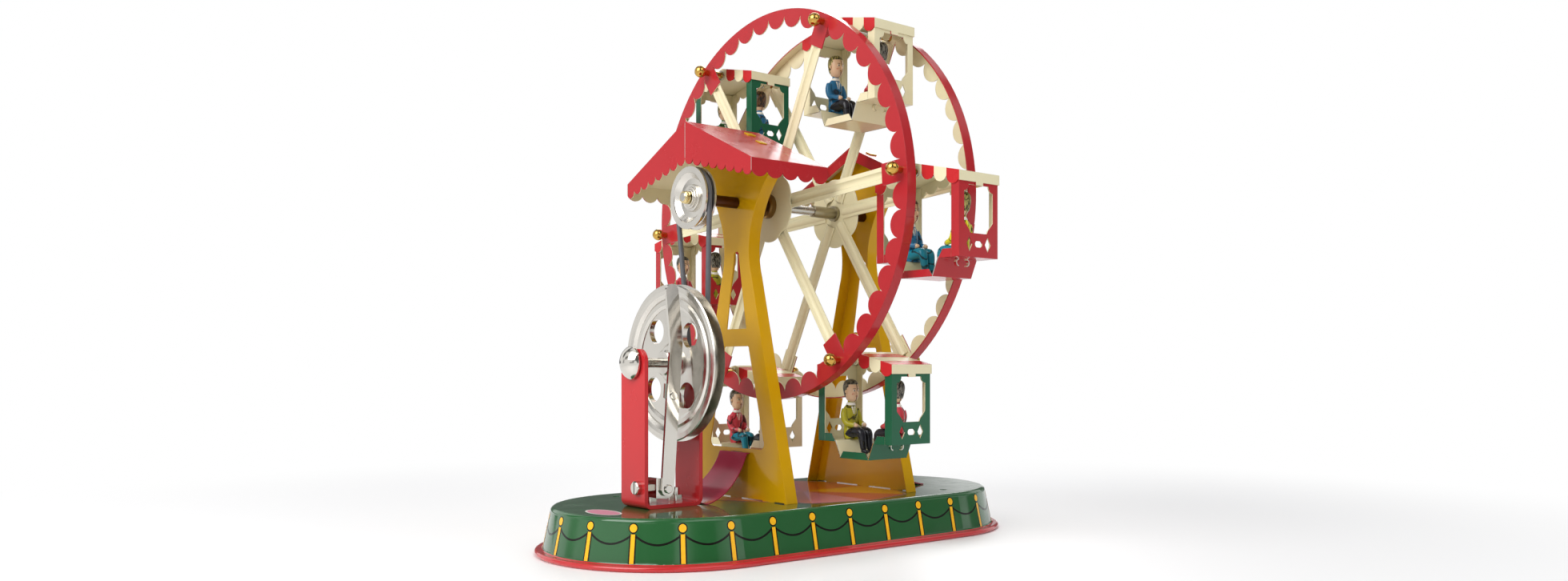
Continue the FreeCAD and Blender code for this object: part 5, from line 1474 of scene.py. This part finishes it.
    def finishes(self) -> list[Finish]:
        """Return one finish for each part, in the order of the parts."""
        coat, cloth, hair = self.outfit.jacket, self.outfit.trousers, self.outfit.hair
        return [Ink(f"jacket, {coat.label}", coat, folds=True),
                Ink(f"trousers, {cloth.label}", cloth, folds=True), Ink("skin ink", Hue.SKIN),
                Hair(f"hair, {hair.label}", hair), Ink("shoe ink", Hue.DARK_CLOTH), WHITE_INK, BLACK_INK,
                Ink("lip ink", Hue.LIPS), Ink("cheek ink", Hue.CHEEK)]

    def make(self) -> bpy.types.Object:
        """Build the figure.

        Returns:
            The new object.
        """
        self.trunk()
        for side in (1, -1):
            for part, rows in self.limbs:
                self.limb(part, rows, side)
        self.crown()
        return self.piece.build(self.finishes(), self.body, "printed_tin")


@dataclass
class Gondola:
    """Cabin, awning and two riders hanging on one cross rod.

    Drops are in metres under the rod; the sizes of the cabin, from half_width on, are in mm from it.
    """

    number: int
    shell: Hue
    low_rider: Outfit
    high_rider: Outfit
    scallops: int = 7
    seat_drop: float = 42.8 * MM
    cabin_heart_drop: float = 28.0 * MM
    roof_heart_drop: float = 8.0 * MM
    half_width: float = 14.0
    sheet: float = 0.6
    bend_share: float = 0.6
    flange_end: float = 23.0
    deck: float = -43.4
    well_head: float = 14.5
    well_foot: float = 10.9
    well_floor: float = -52.0
    flap: Spot = (8.4, -48.3)
    rest: tuple[Spot, ...] = ((14.6, -43.4), (17.4, -39.2), (22.9, -39.2), (22.9, -43.4))
    curl_radius: float = 1.8
    curl_sheet: float = 0.5
    curl_width: float = 1.6
    curl_places: tuple[Spot, ...] = ((-3.0, 16.4), (3.0, 16.4))
    curl_turns: tuple[float, ...] = tuple(math.radians(20 * k) for k in range(10))
    slack: float = 0.03
    end_gap: float = 0.05
    side_lift: float = 0.02

    def __post_init__(self) -> None:
        """Find the cross rod and start the cabin."""
        self.name = f"gondola_{self.number}"
        self.rod = joint_place(f"{self.name}_hang")
        self.cabin = Builder(f"{self.name}_folded_cabin")

    def place(self, x: float, y: float, z: float) -> Vector:
        """Return a place given in the cabin's mm from the rod."""
        return self.rod + Vector((x, y, z)) * MM

    def below(self, drop: float) -> Vector:
        """Return the place that lies a drop in metres under the rod."""
        return self.rod - Vector((0.0, 0.0, drop))

    def panels(self) -> None:
        """Take over both end panels with their folded flanges from the CAD cabin."""
        mesh = frame["nodes"][f"{self.name}_cabin"].data
        for face in mesh.polygons:
            corners = [(mesh.vertices[k].co - self.rod) / MM for k in face.vertices]
            depths = [abs(c.y) for c in corners]
            heights = [c.z for c in corners]
            outward = face.normal.y * corners[0].y > 0
            if min(depths) < self.flange_end - self.slack or min(heights) < self.deck - self.slack:
                continue
            if max(depths) < self.flange_end + self.slack and outward:
                continue
            if max(heights) < self.deck + self.slack and face.normal.z > 0:
                continue
            self.cabin.face(self.cabin.points([self.place(*c) for c in corners]), 0)

    def seats(self) -> None:
        """Fold the seats with the foot well between them, its low side flaps and the arm rests."""
        w, t, deck, low = self.half_width, self.sheet, self.deck, self.well_floor
        head, foot, end = self.well_head, self.well_foot, self.flange_end - self.end_gap
        bend = t * self.bend_share
        upper = [(end, deck + t), (head - bend, deck + t), (foot - bend, low + t)]
        lower = [(foot, low), (head, deck), (end, deck)]
        profile = [*upper, *((-y, z) for y, z in reversed(upper)),
                   *((-y, z) for y, z in reversed(lower)), *lower]
        self.cabin.prism([self.place(-w, y, z) for y, z in profile], Vector((2 * w * MM, 0.0, 0.0)), 1, 0)
        flap = [(foot, low), (-foot, low), (-self.flap[0], self.flap[1]), (self.flap[0], self.flap[1])]
        rests = [[(way * y, z) for y, z in self.rest] for way in (1, -1)]
        for side in (1, -1):
            inward = Vector((-side * t * MM, 0.0, 0.0))
            for outline in (flap, *rests):
                self.cabin.prism([self.place(side * (w + self.side_lift), y, z) for y, z in outline], inward,
                                 0, 1)

    def curls(self) -> None:
        """Curl two narrow tabs under each seat."""
        r, thin = self.curl_radius, self.curl_radius - self.curl_sheet
        centre = self.deck - r
        for x, y in self.curl_places:
            side = 1 if x > 0 else -1
            arc = [(x + side * r * math.sin(t), centre + r * math.cos(t)) for t in self.curl_turns]
            back = [(x + side * thin * math.sin(t), centre + thin * math.cos(t))
                    for t in reversed(self.curl_turns)]
            for way in (1, -1):
                self.cabin.prism([self.place(a, way * y, b) for a, b in arc + back],
                                 Vector((0.0, way * self.curl_width * MM, 0.0)), 1, 0)

    def make(self) -> None:
        """Build the cabin, dress the awning and seat the riders."""
        self.panels()
        self.seats()
        self.curls()
        enamel = Enamel(f"{self.name} enamel", outside=self.shell, inside=Hue.CREAM,
                        heart=tuple(self.below(self.cabin_heart_drop)))
        slot = {Hue.DEEP_RED: "enamel_red", Hue.CREAM: "enamel_cream"}.get(self.shell, "gondola_green")
        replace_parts(self.cabin.build([enamel, CUT_TIN], self.name, slot, smooth=False), f"{self.name}_cabin")
        low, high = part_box(f"{self.name}_roof")
        stripes = Stripes(1, low.y, (high.y - low.y) / self.scallops, Hue.CREAM)
        dress(Enamel(f"{self.name} awning enamel", outside=Hue.RED, inside=Hue.CREAM,
                     heart=tuple(self.below(self.roof_heart_drop)), stripes=stripes, end_band=Hue.CREAM,
                     roughness=0.2, specular=0.12, coat=0.03, peel=0.0), f"{self.name}_roof")
        for way, outfit, side in ((1, self.high_rider, "a"), (-1, self.low_rider, "b")):
            rider = Rider(f"{self.name}_rider_{side}", self.name, self.below(self.seat_drop), way, outfit)
            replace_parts(rider.make(), f"{self.name}_riders")


# ---- studio -----------------------------------------------------------------------------------
@dataclass
class Studio:
    """Pale floor that fades to white, white room, soft lamps and the camera."""

    camera_place: Point = (0.4143, 0.5026, 0.0961)
    lens: float = 26.6
    shift: float = 0.0473
    fade_start: float = 0.28
    fade_end: float = 0.62
    floor_half: float = 6.0
    aim_height: float = 0.14
    sensor: float = 36.0
    clip: float = 0.01
    screen_scale: float = 2.8
    screen_shade: float = 0.12
    dark_side: Point = (0.0, 1.0, 0.03)
    lamps: tuple[tuple[str, Point, float, float], ...] = (
        ("key", (1.05, 0.15, 0.85), 0.9, 13.0), ("fill", (0.0, 0.95, 1.05), 0.9, 3.0),
        ("back", (-0.8, -0.8, 0.9), 0.8, 6.0))

    def seen_rays(self, tree: bpy.types.NodeTree) -> Any:
        """Tell the rays that show the background from those that light the object.

        Args:
            tree: node tree of the floor or the world.

        Returns:
            Output that is 1 for camera, glossy and transmission rays.
        """
        camera = add(tree, "LightPath", out="Is Camera Ray")
        glossy = camera.node.outputs["Is Glossy Ray"]
        through = camera.node.outputs["Is Transmission Ray"]
        both = add(tree, "Math", {0: camera, 1: glossy}, operation="MAXIMUM")
        return add(tree, "Math", {0: both, 1: through}, operation="MAXIMUM")

    def floor(self) -> None:
        """Lay the floor."""
        half = self.floor_half
        corners = [(-half, -half, 0), (half, -half, 0), (half, half, 0), (-half, half, 0)]
        mesh = bpy.data.meshes.new("floor")
        mesh.from_pydata(corners, [], [(0, 1, 2, 3)])
        made = bpy.data.materials.new("floor paper")
        made.use_nodes = True
        tree = made.node_tree
        tree.nodes.clear()
        place = add(tree, "TexCoord", out="Object")
        distance = add(tree, "VectorMath", {0: place}, out="Value", operation="LENGTH")
        fade = add(tree, "MapRange", {"Value": distance, "From Min": self.fade_start,
                                      "From Max": self.fade_end}, interpolation_type="SMOOTHSTEP")
        share = add(tree, "Math", {0: fade, 1: self.seen_rays(tree)}, operation="MULTIPLY")
        paper = add(tree, "BsdfPrincipled", {"Base Color": Hue.PAPER.rgba, "Roughness": 0.45})
        white = add(tree, "Emission", {"Color": (1.0, 1.0, 1.0, 1.0), "Strength": 1.0})
        surface = add(tree, "MixShader", {0: share, 1: paper, 2: white})
        add(tree, "OutputMaterial", {"Surface": surface})
        mesh.materials.append(made)
        sheet = bpy.data.objects.new("floor", mesh)
        bpy.context.scene.collection.objects.link(sheet)

    def world(self) -> None:
        """Light the room softly and keep the background white."""
        world = bpy.data.worlds.new("studio")
        bpy.context.scene.world = world
        world.use_nodes = True
        tree = world.node_tree
        tree.nodes.clear()
        room = add(tree, "Background", {"Color": (0.93, 0.95, 1.0, 1.0), "Strength": 0.62})
        seen = self.seen_rays(tree)
        camera = add(tree, "LightPath", out="Is Camera Ray")
        turn = add(tree, "TexCoord", out="Generated")
        screens = add(tree, "TexNoise", {"Vector": turn, "Scale": self.screen_scale, "Detail": 0.0})
        shade = add(tree, "MapRange", {"Value": screens, "From Min": 0.44, "From Max": 0.56,
                                       "To Min": self.screen_shade, "To Max": 1.0})
        towards = add(tree, "VectorMath", {0: turn, 1: self.dark_side}, out="Value",
                      operation="DOT_PRODUCT")
        away = add(tree, "MapRange", {"Value": towards, "From Min": 0.9, "From Max": 0.99,
                                      "To Min": 1.0, "To Max": self.screen_shade})
        lit = add(tree, "Math", {0: shade, 1: away}, operation="MULTIPLY")
        level = add(tree, "Math", {0: lit, 1: camera}, operation="MAXIMUM")
        white = add(tree, "Background", {"Color": (1.0, 1.0, 1.0, 1.0), "Strength": level})
        mix = add(tree, "MixShader", {0: seen, 1: room, 2: white})
        add(tree, "OutputWorld", {"Surface": mix})

    def lamp(self, name: str, place: Point, size: float, watts: float) -> None:
        """Hang one square soft lamp that points at the wheel.

        Args:
            name: name of the lamp.
            place: where it hangs.
            size: its side.
            watts: its power.
        """
        data = bpy.data.lights.new(name, "AREA")
        data.shape = "SQUARE"
        data.size = size
        data.energy = watts
        lamp = bpy.data.objects.new(name, data)
        lamp.location = place
        lamp.rotation_mode = "QUATERNION"
        aim = Vector((0.0, 0.0, self.aim_height)) - Vector(place)
        lamp.rotation_quaternion = aim.to_track_quat("-Z", "Y")
        bpy.context.scene.collection.objects.link(lamp)

    def camera(self) -> None:
        """Set the level camera at the three-quarter view from the drive end."""
        data = bpy.data.cameras.new("camera")
        data.lens = self.lens
        data.sensor_width = self.sensor
        data.shift_y = self.shift
        data.clip_start = self.clip
        camera = bpy.data.objects.new("camera", data)
        camera.location = self.camera_place
        aim = Vector((0.0, 0.0, self.camera_place[2])) - Vector(self.camera_place)
        camera.rotation_mode = "QUATERNION"
        camera.rotation_quaternion = aim.to_track_quat("-Z", "Y")
        bpy.context.scene.collection.objects.link(camera)
        bpy.context.scene.camera = camera

    def make(self) -> None:
        """Set up floor, world, lamps and camera."""
        bpy.context.scene.view_settings.view_transform = "Standard"
        self.floor()
        self.world()
        for lamp in self.lamps:
            self.lamp(*lamp)
        self.camera()


def gondolas() -> list[Gondola]:
    """List the six gondolas with their riders' outfits.

    Returns:
        The gondolas, from the one at +Y round over the top.
    """
    blue = Outfit(Hue.JACKET_BLUE, Hue.TEAL, Hue.BROWN_HAIR)
    yellow = Outfit(Hue.JACKET_YELLOW, Hue.TEAL, Hue.BLOND)
    navy = Outfit(Hue.JACKET_BLUE, Hue.DARK_CLOTH, Hue.BLOND)
    pink = Outfit(Hue.JACKET_ROSE, Hue.DARK_CLOTH, Hue.GREY_HAIR)
    green = Outfit(Hue.JACKET_GREEN, Hue.DARK_CLOTH, Hue.BLOND)
    rose = Outfit(Hue.JACKET_ROSE, Hue.TEAL, Hue.GREY_HAIR)
    lime = Outfit(Hue.JACKET_LIME, Hue.DARK_CLOTH, Hue.GREY_HAIR)
    return [Gondola(1, Hue.DEEP_RED, blue, yellow), Gondola(2, Hue.CREAM, navy, pink),
            Gondola(3, Hue.CAR_GREEN, green, blue), Gondola(4, Hue.DEEP_RED, rose, lime),
            Gondola(5, Hue.CREAM, rose, green), Gondola(6, Hue.CAR_GREEN, lime, pink)]


def main() -> None:
    """Build every sub-assembly in order."""
    logging.basicConfig(level=logging.INFO, format="%(message)s")
    for assembly in (Studio(), Base(), StillFrame(), Drive(), Wheel(), *gondolas()):
        assembly.make()


if __name__ == "__main__":
    main()
